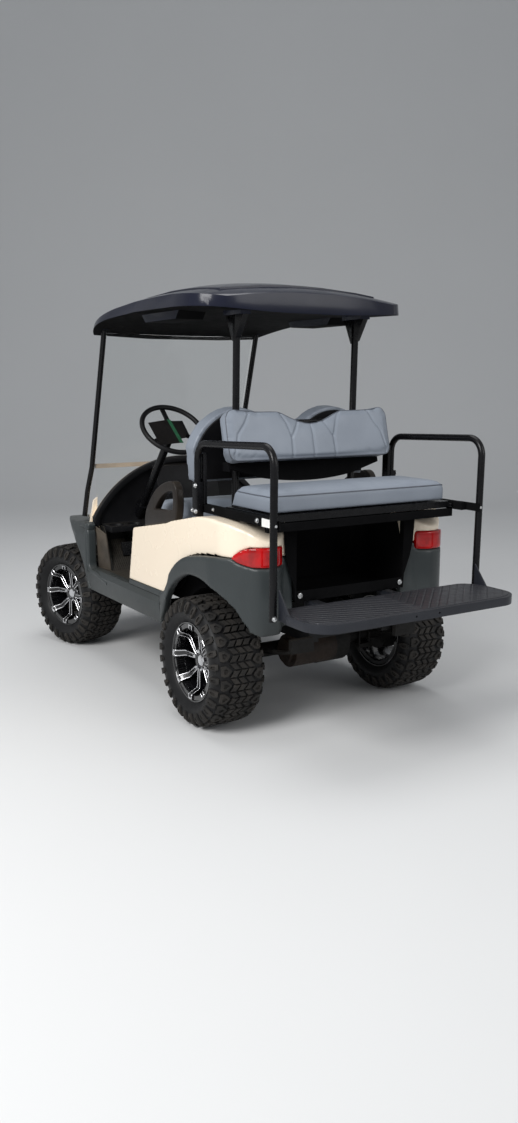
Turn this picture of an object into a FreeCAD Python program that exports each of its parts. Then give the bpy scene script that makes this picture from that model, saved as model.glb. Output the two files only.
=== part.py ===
import FreeCAD, Part
import math
import os

os.makedirs("parts", exist_ok=True)

# Driving dimensions, millimetres.
# x is forward, y is left, z is up from the ground. "Station" is x measured forward
# from the rear axle, the way the cart's own drawing would be dimensioned.
wheelbase = 1664.0
front_overhang = 360.0
rear_overhang = 855.0
tyre_diameter = 584.0
tyre_width = 250.0
rim_lip_radius = 180.0
rear_track = 1033.0
front_track = 1028.0
kingpin_inset = 130.0
steer_at_rest = 14.0
steering_arm = 110.0
body_half_width = 600.0
flare_width = 14.0
floor_top = 508.0
skirt_bottom = 395.0
deck_top = 946.0
well_half_width = 295.0
panel_wall = 10.0
rail_inset = 184.0
rail_width = 50.0
rail_bottom = 405.0
rail_top = 495.0
roof_half_width = 575.0
roof_crest = 1978.0
strut_radius = 16.0
strut_half_spread = 325.0
arm_radius = 15.5
arm_half_spread = 540.0
plate_top = 625.0
plate_thickness = 36.0
plate_half_width = 530.0
seat_hinge_station = -447.0
seat_tilt = 14.0
wheel_centre = (842.0, 262.0, 1273.0)
steering_rake = 47.7
seat_gap = 0.3

# Derived places.
rear_axle_x = rear_overhang - (front_overhang + wheelbase + rear_overhang) / 2.0
tyre_radius = tyre_diameter / 2.0
front_station = wheelbase
nose_station = wheelbase + front_overhang
tail_station = -rear_overhang
kingpin_y = front_track / 2.0 - kingpin_inset
skirt_inner = body_half_width - 55.0
body_inner = body_half_width - 100.0
FAR = 4000.0


# Helpers.
def at_xz(y):
    return lambda a, b: FreeCAD.Vector(a, y, b)


def at_yz(x):
    return lambda a, b: FreeCAD.Vector(x, a, b)


def at_xy(z):
    return lambda a, b: FreeCAD.Vector(a, b, z)


def outline(points, place):
    """Closed wire through (a, b) corners; a third value marks a point that an arc passes through."""
    edges = []
    here = points[0]
    count = len(points)
    step = 1
    while step <= count:
        following = points[step % count]
        if len(following) == 3:
            end = points[(step + 1) % count]
            edges.append(Part.Arc(place(*here), place(*following[:2]), place(*end)).toShape())
            step += 2
        else:
            end = following
            edges.append(Part.LineSegment(place(*here), place(*end)).toShape())
            step += 1
        here = end
    return Part.Wire(edges)


def prism_y(points, y_start, y_end):
    face = Part.Face(outline(points, at_xz(y_start)))
    return face.extrude(FreeCAD.Vector(0, y_end - y_start, 0))


def prism_x(points, x_start, x_end):
    face = Part.Face(outline(points, at_yz(x_start)))
    return face.extrude(FreeCAD.Vector(x_end - x_start, 0, 0))


def prism_z(points, z_start, z_end):
    face = Part.Face(outline(points, at_xy(z_start)))
    return face.extrude(FreeCAD.Vector(0, 0, z_end - z_start))


def block(x_start, x_end, y_start, y_end, z_start, z_end):
    size = (x_end - x_start, y_end - y_start, z_end - z_start)
    return Part.makeBox(*size, FreeCAD.Vector(x_start, y_start, z_start))


def rod(start, end, radius):
    a = FreeCAD.Vector(*start)
    b = FreeCAD.Vector(*end)
    return Part.makeCylinder(radius, (b - a).Length, a, b - a)


def bent_tube(points, radius, bend):
    """Round tube along straight legs joined by bends of one radius."""
    corners = [FreeCAD.Vector(*p) for p in points]
    edges = []
    here = corners[0]
    for before, corner, after in zip(corners, corners[1:], corners[2:]):
        back = (before - corner).normalize()
        ahead = (after - corner).normalize()
        half = back.getAngle(ahead) / 2.0
        reach = bend / math.tan(half)
        middle = (back + ahead).normalize() * (bend / math.sin(half) - bend)
        start = corner + back * reach
        end = corner + ahead * reach
        edges.append(Part.LineSegment(here, start).toShape())
        edges.append(Part.Arc(start, corner + middle, end).toShape())
        here = end
    edges.append(Part.LineSegment(here, corners[-1]).toShape())
    ring = Part.Wire(Part.makeCircle(radius, corners[0], corners[1] - corners[0]))
    return Part.Wire(edges).makePipeShell([ring], True, True)


def mirrored(shape):
    return shape.mirror(FreeCAD.Vector(0, 0, 0), FreeCAD.Vector(0, 1, 0))


def both_sides(shape):
    return [shape, mirrored(shape)]


def joined(shapes):
    result = shapes[0]
    for shape in shapes[1:]:
        result = result.fuse(shape)
    return result.removeSplitter()


def trimmed(shape, cutters):
    for cutter in cutters:
        shape = shape.cut(cutter)
    return shape


def revolved(points, centre):
    """Ring turned about the y axis through centre from an (offset along y, radius) outline."""
    wire = outline(points, lambda a, b: FreeCAD.Vector(centre[0], centre[1] + a, centre[2] + b))
    return Part.Face(wire).revolve(FreeCAD.Vector(*centre), FreeCAD.Vector(0, 1, 0), 360)


def save(node, shapes):
    """Write one node, moved from stations to the cart's own frame."""
    solids = [solid for shape in shapes for solid in shape.Solids]
    whole = Part.makeCompound(solids) if len(solids) > 1 else solids[0].copy()
    whole.translate(FreeCAD.Vector(rear_axle_x, 0, 0))
    whole.exportStep("parts/" + node + ".step")


# Tyres. The tread is a ring of flats, one to a pitch. Each flat has a shoulder groove over its front
# half on the left and over its rear half on the right, so the lugs stand in two staggered rows.
pitch_count = 28
bead_radius = 151.5
bead_half = 94.5
tyre_half = tyre_width / 2.0
bulge_radius = tyre_radius - 54.0
tread_half = tyre_half - 21.0
lug_start = 52.0
lug_height = 11.0
sector_outline = [
    (-bead_half, bead_radius), (bead_half, bead_radius), (bead_half, rim_lip_radius + 1.0),
    (tyre_half, bulge_radius), (tread_half, tyre_radius), (-tread_half, tyre_radius),
    (-tyre_half, bulge_radius), (-bead_half, rim_lip_radius + 1.0),
]
groove_outline = [
    (lug_start, tyre_radius + lug_height), (lug_start, tyre_radius - lug_height),
    (tread_half - 4.0, tyre_radius - lug_height - 2.0), (tyre_half, bulge_radius + 5.0),
    (tyre_half + lug_height, tyre_radius + lug_height),
]


def tread_pitch():
    """One flat of the tyre above the axle, its sides on two planes through the axle."""
    reach = tyre_diameter * math.tan(math.pi / pitch_count)
    corners = [(0.0, tyre_diameter), (reach, tyre_diameter), (-reach, tyre_diameter)]
    flat = prism_x(sector_outline, -reach, reach)
    for side, corner in ((1, corners[1]), (-1, corners[2])):
        half_wedge = prism_y([(0.0, 0.0), corners[0], corner], -tyre_width, tyre_width)
        groove = prism_x([(side * y, radius) for y, radius in groove_outline], -reach, reach)
        flat = flat.cut(groove.common(half_wedge))
    return flat.common(prism_y([(0.0, 0.0), corners[1], corners[2]], -tyre_width, tyre_width))


def tread_ring():
    """The pitch turned to all its places about the y axis and fused in one step."""
    first = tread_pitch()
    step = 360.0 / pitch_count
    origin = FreeCAD.Vector(0, 0, 0)
    axle = FreeCAD.Vector(0, 1, 0)
    ring = [first.rotated(origin, axle, number * step) for number in range(1, pitch_count)]
    return first.fuse(ring).removeSplitter().Solids[0]


# Wheels. Eight spokes run flat from a deep hub, rise steeply to the lip and lean together in pairs.
# Each spoke is a channel between two ridges.
barrel_inner = 147.0
barrel_outer = bead_radius - seat_gap
rim_half = 100.0
hub_back = 33.0
hub_face = 45.0
spoke_front = 62.0
rim_outline = [
    (-rim_half, barrel_inner), (rim_half, barrel_inner), (rim_half, rim_lip_radius),
    (bead_half + seat_gap, rim_lip_radius), (bead_half + seat_gap, barrel_outer),
    (-bead_half - seat_gap, barrel_outer), (-bead_half - seat_gap, rim_lip_radius),
    (-rim_half, rim_lip_radius),
]
spoke_count = 8
first_spoke = 2.0
hub_radius = 60.0
cap_radius = 26.0
ridge = 4.5
pocket_depth = 6.0
# Spoke stations: radius, lean towards its neighbour, half width, back, front.
spoke_stations = [
    (46.0, 8.0, 10.0, hub_back, 53.0),
    (126.0, 2.0, 13.5, 42.0, 58.0),
    (barrel_inner - 1.0, 0.0, 15.0, 76.0, 97.0),
    (barrel_inner + 3.0, 0.0, 15.0, bead_half + 0.5, rim_half + 2.5),
    (rim_lip_radius - 8.0, 0.0, 15.5, bead_half + 0.5, rim_half + 2.5),
]


def spoke_form(inset, low, high):
    """A bent bar: its face outline from the stations, trimmed between two lines beside their front line."""
    rows = [list(row) for row in spoke_stations]
    rows[0][0] += 3.0 * inset
    rows[-1][0] -= inset
    face = [(lean + half - inset, radius) for radius, lean, half, back, front in rows]
    face += [(lean - half + inset, radius) for radius, lean, half, back, front in reversed(rows)]
    side = [(high(back, front), radius) for radius, lean, half, back, front in rows]
    side += [(low(back, front), radius) for radius, lean, half, back, front in reversed(rows)]
    return prism_y(face, 0.0, tyre_half).common(prism_x(side, -rim_half, rim_half))


def spoke():
    bar = spoke_form(0.0, lambda back, front: back, lambda back, front: front)
    pocket = spoke_form(ridge, lambda back, front: front - pocket_depth, lambda back, front: front + ridge)
    return bar.cut(pocket)


def rim(centre, outward):
    """Wheel with its face towards outward (+1 left, -1 right)."""
    parts = [revolved(rim_outline, (0.0, 0.0, 0.0))]
    parts.append(rod((0, hub_back, 0), (0, hub_face, 0), hub_radius))
    parts.append(rod((0, hub_face, 0), (0, spoke_front - 12.0, 0), cap_radius))
    for number in range(spoke_count):
        arm = spoke() if number % 2 else spoke().mirror(FreeCAD.Vector(0, 0, 0), FreeCAD.Vector(1, 0, 0))
        angle = first_spoke + number * 360.0 / spoke_count
        arm.rotate(FreeCAD.Vector(0, 0, 0), FreeCAD.Vector(0, 1, 0), -angle)
        parts.append(arm)
    wheel = joined(parts)
    if outward < 0:
        wheel.rotate(FreeCAD.Vector(0, 0, 0), FreeCAD.Vector(0, 0, 1), 180.0)
    wheel.translate(FreeCAD.Vector(*centre))
    return wheel


def steered(shape, side):
    """Turn a front corner about its kingpin by the angle it stands at."""
    shape.rotate(FreeCAD.Vector(front_station, side * kingpin_y, 0), FreeCAD.Vector(0, 0, 1), steer_at_rest)
    return shape


tread = tread_ring()
for name, side in (("left", 1), ("right", -1)):
    rear_centre = (0.0, side * rear_track / 2.0, tyre_radius)
    front_centre = (front_station, side * front_track / 2.0, tyre_radius)
    save("tyre_rear_" + name, [tread.translated(FreeCAD.Vector(*rear_centre))])
    save("rim_rear_" + name, [rim(rear_centre, side)])
    save("tyre_front_" + name, [steered(tread.translated(FreeCAD.Vector(*front_centre)), side)])
    save("rim_front_" + name, [steered(rim(front_centre, side), side)])

# Front knuckles: kingpin tube, spindle with hub, and the steering arm that points rearwards.
kingpin_radius = 16.0
kingpin_low = 215.0
kingpin_high = 375.0
arm_low = 262.0
arm_high = 274.0
arm_half = 8.0
eye_radius = 12.0
spindle_radius = 20.0
hub_drum_radius = 46.0
hub_drum_start = front_track / 2.0 - 74.0
for name, side in (("left", 1), ("right", -1)):
    hub_end = side * (front_track / 2.0 + hub_back - seat_gap)
    low_y = side * kingpin_y
    knuckle = joined([
        rod((front_station, low_y, kingpin_low), (front_station, low_y, kingpin_high), kingpin_radius),
        rod((front_station, low_y, tyre_radius), (front_station, hub_end, tyre_radius), spindle_radius),
        rod((front_station, side * hub_drum_start, tyre_radius), (front_station, hub_end, tyre_radius),
            hub_drum_radius),
        block(front_station - steering_arm, front_station, low_y - arm_half, low_y + arm_half, arm_low,
                arm_high),
        rod((front_station - steering_arm, low_y, arm_low), (front_station - steering_arm, low_y, arm_high),
            eye_radius),
    ])
    save("knuckle_" + name, [steered(knuckle, side)])

# Steering link between the two arms; its forked ends pass above and below the arm eyes.
link_radius = 10.0
link_station = front_station - steering_arm
link_height = (arm_low + arm_high) / 2.0
link_shift = -steering_arm * math.sin(math.radians(steer_at_rest))
fork_reach = 12.0
fork_gap = 0.5
fork_cheek = 6.0
fork_web = 24.0
link_end = kingpin_y - fork_web
link_parts = [rod((link_station, -link_end, link_height), (link_station, link_end, link_height), link_radius)]
for side in (1, -1):
    inner = link_end - 6.0
    outer = kingpin_y + fork_reach
    span = sorted((side * inner, side * outer))
    web = sorted((side * inner, side * link_end))
    top = arm_high + fork_gap + fork_cheek
    bottom = arm_low - fork_gap - fork_cheek
    link_parts.append(block(link_station - 11, link_station + 11, web[0], web[1], bottom, top))
    link_parts.append(block(link_station - 11, link_station + 11, span[0], span[1], top - fork_cheek, top))
    link_parts.append(block(link_station - 11, link_station + 11, span[0], span[1], bottom,
            bottom + fork_cheek))
link = joined(link_parts)
link.translate(FreeCAD.Vector(0, link_shift, 0))
save("steering_link", [link])

# Chassis: two rails, cross members, outriggers to the skirts, and front coil towers.
rail_start = -355.0
rail_end = nose_station - 110.0
half_spread = kingpin_y - rail_inset
half_rail = rail_width / 2.0
frame_parts = []
for side in (1, -1):
    edge = sorted((side * (half_spread - half_rail), side * (half_spread + half_rail)))
    frame_parts.append(block(rail_start, rail_end, edge[0], edge[1], rail_bottom, rail_top))
for station in (-330.0, 90.0, 640.0, 1190.0, 1480.0, 1860.0):
    frame_parts.append(block(station - 25, station + 25, -half_spread, half_spread, rail_bottom + 15,
            rail_top - 15))
outrigger_end = skirt_inner - 5.0
for station in (420.0, 1150.0):
    frame_parts.append(block(station - 20, station + 20, -outrigger_end, outrigger_end, 440.0, 480.0))
tower_half = 22.0
tower_top = 572.0
tower_out = kingpin_y - 80.0
rail_out = half_spread + half_rail
for side in (1, -1):
    web = sorted((side * rail_out, side * (rail_out + 8.0)))
    cap = sorted((side * rail_out, side * tower_out))
    frame_parts.append(block(front_station - tower_half, front_station + tower_half, web[0], web[1],
                             rail_bottom + 20, tower_top))
    frame_parts.append(block(front_station - tower_half, front_station + tower_half, cap[0], cap[1],
                             tower_top - 8.0, tower_top))
save("chassis_frame", [joined(frame_parts)])

# Front suspension: subframe, lower and upper arms, and a coil over damper each side.
subframe_half = kingpin_y - 254.0
arm_tip = kingpin_y - kingpin_radius - 0.6
damper_foot = (kingpin_y - 80.0, 236.0)
damper_head = (kingpin_y - 116.0, 560.0)
spring_foot = (kingpin_y - 86.0, 300.0)
spring_head = (kingpin_y - 111.0, 520.0)
suspension = [block(front_station - 36, front_station + 36, -subframe_half, subframe_half,
                    232.0, rail_bottom + 15 - seat_gap)]
suspension.append(block(front_station - 36, front_station + 36, -rail_out, rail_out,
                        rail_bottom - 30, rail_bottom - seat_gap))
for side in (1, -1):
    for foot, tip, low, high in ((90.0, 14.0, 224.0, 242.0), (42.0, 11.0, 345.0, 359.0)):
        suspension.append(prism_z([
            (front_station - foot, side * (subframe_half - 8)),
            (front_station + foot, side * (subframe_half - 8)),
            (front_station + tip, side * arm_tip),
            (front_station - tip, side * arm_tip),
        ], low, high))
    for foot, head, radius in ((damper_foot, damper_head, 9.0), (spring_foot, spring_head, 27.0)):
        suspension.append(rod((front_station, side * foot[0], foot[1]),
                (front_station, side * head[0], head[1]),
                              radius))
suspension_solid = joined(suspension).cut(block(
    front_station - 60, front_station + 60, -FAR, FAR, tower_top - 8.0 - seat_gap, FAR))
save("front_suspension", [suspension_solid])

# Rear axle with gearcase and drums, drive motor, springs with saddles, bolts and dampers.
axle_radius = 34.0
drum_radius = 88.0
drum_start = rear_track / 2.0 - 91.5
drum_end = rear_track / 2.0 + hub_back - seat_gap
axle_parts = [rod((0, -drum_start, tyre_radius), (0, drum_start, tyre_radius), axle_radius)]
axle_parts.append(rod((0, -190, tyre_radius), (0, -40, tyre_radius), 104.0))
for side in (1, -1):
    axle_parts.append(rod((0, side * drum_start, tyre_radius), (0, side * drum_end, tyre_radius),
            drum_radius))
axle = joined(axle_parts)
save("rear_axle", [axle])
motor = joined([
    rod((-128, -40, 312), (-128, 186, 312), 76.0),
    rod((-128, 186, 312), (-128, 206, 312), 54.0),
]).cut(axle)
save("drive_motor", [motor])
spring_y = 318.0
spring_parts = []
for side in (1, -1):
    rear_eye = (-380.0, 392.0)
    front_eye = (330.0, 392.0)
    leaf = prism_y([
        (rear_eye[0], rear_eye[1]),
        (0.0, 336.0, "via"),
        (front_eye[0], front_eye[1]),
        (front_eye[0], front_eye[1] - 12.0),
        (0.0, 326.0, "via"),
        (rear_eye[0], rear_eye[1] - 12.0),
    ], side * spring_y - 25, side * spring_y + 25)
    saddle = block(-45, 45, side * spring_y - 34, side * spring_y + 34, 318.0, 350.0)
    lower = block(-60, 60, side * spring_y - 40, side * spring_y + 40, 236.0, 256.0)
    pieces = [leaf, saddle, lower]
    for station in (-48.0, 48.0):
        for offset in (-30.0, 30.0):
            place = side * spring_y + offset
            pieces.append(rod((station, place, 215.0), (station, place, 356.0), 5.5))
    for station, top in ((rear_eye[0], 440.0), (front_eye[0], 440.0)):
        hanger = sorted((side * (rail_out + seat_gap), side * (spring_y + 20)))
        pieces.append(block(station - 12, station + 12, hanger[0], hanger[1], 380.0, top))
    pieces.append(rod((70, side * 262, 262), (190, side * 250, 470), 20.0))
    pieces.append(block(45, 90, *sorted((side * 246, side * 300)), 238.0, 262.0))
    spring_parts.append(joined(pieces).cut(axle))
save("rear_springs", spring_parts)

# Battery pack under the front seat, one plain block.
wheel_room = 8.0
house_half = rear_track / 2.0 - tyre_half - wheel_room
house_wall = 5.0
battery_half = house_half - house_wall - 8.0
save("battery_pack", [block(150.0, 600.0, -battery_half, battery_half, rail_top + seat_gap, 770.0)])

# Rear pods: the body-coloured panel above and the textured flare below share one pair of outlines.
# Side outline as (station, height); plan outline as (station, half width).
panel_front = 659.0
colour_break = [
    (333.0, 545.0),
    (262.0, 584.0, "via"),
    (222.0, 650.0),
    (130.0, 726.0, "via"),
    (-7.0, 771.0),
    (-150.0, 790.0, "via"),
    (-300.0, 796.0),
    (-600.0, 796.0),
    (-600.0, 300.0),
    (345.3, 300.0),
    (345.3, 545.0),
]
lamp_outline = [
    (-276.0, 797.0),
    (-318.0, 836.0, "via"),
    (-372.0, 846.0),
    (-500.0, 846.0),
    (-500.0, 762.0),
    (-372.0, 762.0),
    (-318.0, 772.0, "via"),
]
lamp_inner_y = 362.0
side_line = 14.0
below_break = prism_y(colour_break, 0.0, FAR)
lamp_prism = prism_y(lamp_outline, lamp_inner_y, FAR)

panel_plan = [
    (-336.0, well_half_width),
    (-344.0, 356.0),
    (-385.0, 438.0, "via"),
    (-328.0, 514.0),
    (-258.0, 564.0, "via"),
    (-165.0, 594.0 - side_line),
    (900.0, body_half_width - side_line),
    (900.0, body_inner),
    (50.0, body_inner),
    (50.0, well_half_width),
]
panel_side = [
    (panel_front, 809.0),
    (300.0, 874.0),
    (235.0, 893.0),
    (20.0, 936.0),
    (-90.0, deck_top, "via"),
    (-200.0, deck_top - 5.0),
    (-310.0, 915.0, "via"),
    (-396.0, 860.0),
    (-404.0, 690.0, "via"),
    (-385.0, 498.0),
    (345.0, 498.0),
    (345.0, 545.0),
    (722.0, 540.0),
]


def shell(side_points, plan_points, wall):
    """Solid bounded by a side and a plan outline, hollowed to a wall."""
    solid = prism_y(side_points, 0.0, FAR).common(prism_z(plan_points, 0.0, FAR))
    plan_inner = Part.Face(outline(plan_points, at_xy(0.0))).makeOffset2D(-wall)
    side_inner = Part.Face(outline(side_points, at_xz(0.0))).makeOffset2D(-wall)
    inner = plan_inner.extrude(FreeCAD.Vector(0, 0, FAR)).common(
        side_inner.extrude(FreeCAD.Vector(0, FAR, 0)))
    return solid.cut(inner)


panel_shell = shell(panel_side, panel_plan, panel_wall)
rear_panel = trimmed(panel_shell, [below_break, lamp_prism])
rear_panel = max(rear_panel.Solids, key=lambda solid: solid.Volume)
save("rear_body", both_sides(rear_panel))

fender_side = [
    (345.0, 545.0),
    (345.0, 396.0),
    (338.0, 396.0),
    (291.0, 469.0),
    (185.0, 607.0, "via"),
    (22.0, 682.0),
    (-150.0, 667.0, "via"),
    (-290.0, 590.0),
    (-342.0, 520.0),
    (-385.0, 498.0),
    (-402.0, 690.0, "via"),
    (-400.0, 796.0),
    (-300.0, 796.0),
    (-150.0, 790.0, "via"),
    (-7.0, 771.0),
    (130.0, 726.0, "via"),
    (222.0, 650.0),
    (262.0, 584.0, "via"),
    (333.0, 545.0),
]
fender_lip = 40.0
band_start = -205.0
fender_plan = [
    (-336.0, well_half_width),
    (-346.0, 356.0),
    (-391.0, 440.0, "via"),
    (-334.0, 526.0),
    (-262.0, 580.0, "via"),
    (-160.0, body_half_width + flare_width),
    (220.0, body_half_width + flare_width),
    (345.0, body_half_width),
    (900.0, body_half_width),
    (900.0, well_half_width),
]
fender_solid = prism_y(fender_side, 0.0, FAR).common(prism_z(fender_plan, 0.0, FAR))
fender_core = Part.Face(outline(fender_plan, at_xy(0.0))).makeOffset2D(-fender_lip)
fender_core = fender_core.extrude(FreeCAD.Vector(0, 0, FAR))
fender_core = fender_core.fuse(block(band_start, 900.0, 0.0, body_half_width - fender_lip, 0.0, FAR))
fender = trimmed(fender_solid, [fender_core, lamp_prism])
fender = max(fender.Solids, key=lambda solid: solid.Volume)
save("rear_fenders", both_sides(fender))

lamp_solid = prism_y(lamp_outline, lamp_inner_y, FAR).common(prism_z(fender_plan, 0.0, FAR))
lamp_solid = lamp_solid.common(prism_y(
    [(-270.0, 740.0), (-270.0, 870.0), (-389.0, 870.0), (-399.0, 800.0), (-396.0, 740.0)], 0.0, FAR))
lamp = lamp_solid.cut(Part.Face(outline(fender_plan, at_xy(0.0))).makeOffset2D(-25.0).extrude(
    FreeCAD.Vector(0, 0, FAR)))
lamp = max(lamp.Solids, key=lambda solid: solid.Volume)
save("tail_lamps", both_sides(lamp))

# Load well behind the seat: floor, two sides, back wall and rear lip.
well_wall = 5.0
well_floor = 600.0
well_front = 45.0
well_half = well_half_width - seat_gap
well_top = 905.0
well = joined([
    block(-344.0, well_front, -well_half, well_half, well_floor, well_floor + well_wall),
    block(well_front - well_wall, well_front, -well_half, well_half, well_floor, 925.0),
    block(-330.0, well_front, well_half - well_wall, well_half, well_floor, well_top),
    block(-330.0, well_front, -well_half, well_wall - well_half, well_floor, well_top),
    block(-349.0, -344.0, -well_half, well_half, 592.0, 640.0),
]).cut(prism_y([(-360.0, 700.0), (-300.0, 910.0), (-360.0, 910.0)], -FAR, FAR))
# The rear flange laps the inner edges of both pods and widens upwards.
flange_outline = [
    (well_half - well_wall, 592.0), (well_half, 592.0), (well_half + 5.0, 655.0), (well_half + 35.0, 735.0),
    (well_half + 52.0, 800.0), (well_half + 60.0, 912.0), (well_half - well_wall, 912.0),
]
flange = prism_x(flange_outline, -353.0, -349.0)
flange_web = block(-352.0, -325.0, well_half - well_wall, well_half, 600.0, 912.0)
well = joined([well] + both_sides(flange) + both_sides(flange_web))
save("bag_well", [well])

# Skirts: channel below the door opening.
skirt_section = [
    (skirt_inner, 515.0),
    (body_half_width - 20.0, 512.0),
    (body_half_width, 490.0),
    (body_half_width - 8.0, skirt_bottom),
    (body_half_width - 14.0, skirt_bottom),
    (body_half_width - 7.0, 488.0),
    (body_half_width - 23.0, 506.0),
    (skirt_inner + 6.0, 508.0),
    (skirt_inner + 6.0, 450.0),
    (skirt_inner, 450.0),
]
skirt_rear = 345.0 + seat_gap
skirt_front = 1253.0
skirt = prism_x(skirt_section, skirt_rear, skirt_front)
skirt_nose = (1216.0, 397.0)
skirt_notch = [(skirt_nose[0] - 0.5, 300.0), (skirt_nose[0] - 0.5, skirt_nose[1]), (skirt_front - 0.2, 440.5),
               (skirt_front + 50.0, 440.5), (skirt_front + 50.0, 300.0)]
skirt = skirt.cut(prism_y(skirt_notch, 0.0, FAR))
sill_strip = prism_y([(345.3, 515.0), (728.0, 515.0), (722.0, 539.0), (345.3, 544.0)],
                     skirt_inner, body_half_width - 20.0)
save("skirts", both_sides(joined([skirt, sill_strip])))

# Floor pan with toe board and the side kick panels.
pan_half = skirt_inner - 1.0
kick_inner = pan_half - 44.0
pan_rear = 640.0
pan_front = 1262.0
pan_bottom = rail_top + seat_gap
kick = prism_y([(1115.0, floor_top), (1262.0, floor_top), (1262.0, 735.0), (1228.0, 735.0), (1175.0, 660.0)],
               kick_inner, kick_inner + 8.0)
floor_pan = joined([
    block(pan_rear, pan_front, -pan_half, pan_half, pan_bottom, floor_top),
    prism_y([(1110.0, floor_top - 2), (1125.0, floor_top - 2), (1262.0, 640.0), (1262.0, 655.0)],
            -kick_inner, kick_inner),
    kick,
    mirrored(kick),
])
save("floor_pan", [floor_pan])

# Front seat box, open below over the batteries, with a wheel house on each side.
box_rear = 60.0
box_front = 656.0
box_half = body_inner - 1.0
base_top = [(box_rear, 868.0), (box_front, 822.0)]
seat_box = prism_y([(box_rear, floor_top + seat_gap), (box_front, floor_top + seat_gap), base_top[1],
        base_top[0]],
                   -box_half, box_half)
seat_hollow = prism_y([(box_rear + 10, 0.0), (box_front - 10, 0.0), (box_front - 10, 812.0),
        (box_rear + 10, 858.0)],
                      10.0 - box_half, box_half - 10.0)
house_radius = tyre_radius + 28.0
house = rod((0.0, house_half - house_wall, tyre_radius), (0.0, box_half, tyre_radius),
        house_radius + house_wall)
house_space = rod((0.0, house_half, tyre_radius), (0.0, FAR, tyre_radius), house_radius)
seat_base = joined([seat_box.cut(seat_hollow)] + [part.common(seat_box) for part in both_sides(house)])
seat_base = trimmed(seat_base, both_sides(house_space))
save("seat_base", [seat_base])

# Front seat cushion and two arched back pads with shells.
cushion_half = 488.0
cushion = prism_y([
    (150.0, 861.5), (652.0, 823.0), (672.0, 855.0, "via"), (652.0, 905.0),
    (620.0, 935.0, "via"), (570.0, 944.0), (190.0, 984.0), (148.0, 930.0, "via"),
], -cushion_half, cushion_half)
save("front_seat_cushion", [cushion])

back_centre = 262.0
back_half = 246.0
back_bottom = 1060.0
back_shoulder = 1225.0
back_crest = 1420.0
back_lean = 6.0
back_face = 282.0
back_thickness = 88.0


def back_outline(inset):
    half = back_half - inset
    return [
        (back_centre - half + 26, back_bottom + inset),
        (back_centre + half - 26, back_bottom + inset),
        (back_centre + half, back_shoulder),
        (back_centre, back_crest - inset, "via"),
        (back_centre - half, back_shoulder),
    ]


def leaned(shape, foot, angle):
    shape.rotate(FreeCAD.Vector(*foot), FreeCAD.Vector(0, 1, 0), angle)
    return shape


back_foot = (back_face, 0.0, back_bottom)
pad = leaned(prism_x(back_outline(0.0), back_face - back_thickness, back_face), back_foot, -back_lean)
save("front_seat_pads", both_sides(pad))
shell_outer = back_face - back_thickness - seat_gap
back_shell = prism_x(back_outline(28.0), shell_outer - 12.0, shell_outer)
bracket_low = 1112.0
bracket_high = 1152.0
back_shell = joined([leaned(back_shell, back_foot, -back_lean),
                     block(111.7, 180.0, strut_half_spread - 20, strut_half_spread + 20, bracket_low,
                             bracket_high)])
save("front_seat_shells", both_sides(back_shell))

# Hip restraint loops on the side panels.
loop_inner = body_half_width - 67.0
loop_outer = body_half_width - 27.0
restraint = prism_y([
    (540.0, 831.1), (300.0, 875.0), (236.0, 893.8), (212.0, 899.0), (196.0, 968.0, "via"), (203.0, 1035.0),
    (225.0, 1063.0, "via"), (268.0, 1069.0), (402.0, 1026.0, "via"), (500.0, 943.0), (534.0, 892.0, "via"),
], loop_inner, loop_outer)
restraint_hole = prism_y([
    (430.0, 925.0), (252.0, 936.0), (237.0, 980.0, "via"), (245.0, 1027.0), (344.0, 998.0, "via"),
], 0.0, FAR)
save("hip_restraints", both_sides(restraint.cut(restraint_hole)))

# Main struts: two uprights with cross tubes that carry the seat backs, and roof gussets.
strut_foot = (100.0, strut_half_spread, deck_top + 2.0)
strut_top = (76.0, strut_half_spread, 1800.0)
strut_parts = []
for side in (1, -1):
    foot = (strut_foot[0], side * strut_foot[1], strut_foot[2])
    head = (strut_top[0], side * strut_top[1], strut_top[2])
    strut_parts.append(rod(foot, head, strut_radius))
    strut_parts.append(prism_y([(60.0, 1705.0), (94.0, 1690.0), (148.0, 1800.0), (0.0, 1800.0)],
                               side * strut_half_spread - 14, side * strut_half_spread + 14))
    strut_parts.append(block(70.0, 140.0, *sorted((side * 300.0, side * 350.0)), 942.0, 950.0))
for height, station in ((1132.0, 94.5), (1330.0, 89.0)):
    strut_parts.append(rod((station, -strut_half_spread, height), (station, strut_half_spread, height), 12.0))
strut_parts.append(block(64.0, 136.0, -340.0, 340.0, 928.0, 942.0))
main_struts = joined(strut_parts)
save("main_struts", [main_struts])

# Front struts: bent tubes from the fender top to the roof.
front_strut_path = [(1503.0, 505.0, 762.0), (1497.0, 485.0, 905.0), (1440.0, 476.0, 1043.0),
        (1213.0, 472.0, 1786.0)]
front_strut = bent_tube(front_strut_path, 14.5, 60.0)
save("front_struts", both_sides(front_strut))

# Roof: lofted crown with a drooping front edge. Columns: station, half width, edge bottom, edge top, crest.
roof_sections = [
    (-50.0, 450.0, 1820.0, 1866.0, 1896.0),
    (60.0, 560.0, 1828.0, 1880.0, 1929.0),
    (300.0, roof_half_width, 1834.0, 1888.0, 1959.0),
    (560.0, roof_half_width, 1836.0, 1884.0, roof_crest - 7.0),
    (850.0, 570.0, 1828.0, 1868.0, 1949.0),
    (1100.0, 558.0, 1806.0, 1834.0, 1888.0),
    (1290.0, 500.0, 1762.0, 1776.0, 1800.0),
]
panel_rise = 8.0
panel_share = 0.76


def roof_ring(station, half, low, edge, crest):
    return outline([
        (half, low), (half - 6.0, edge), (0.0, crest, "via"), (6.0 - half, edge), (-half, low),
        (0.0, low - 14.0, "via"),
    ], at_yz(station))


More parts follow.
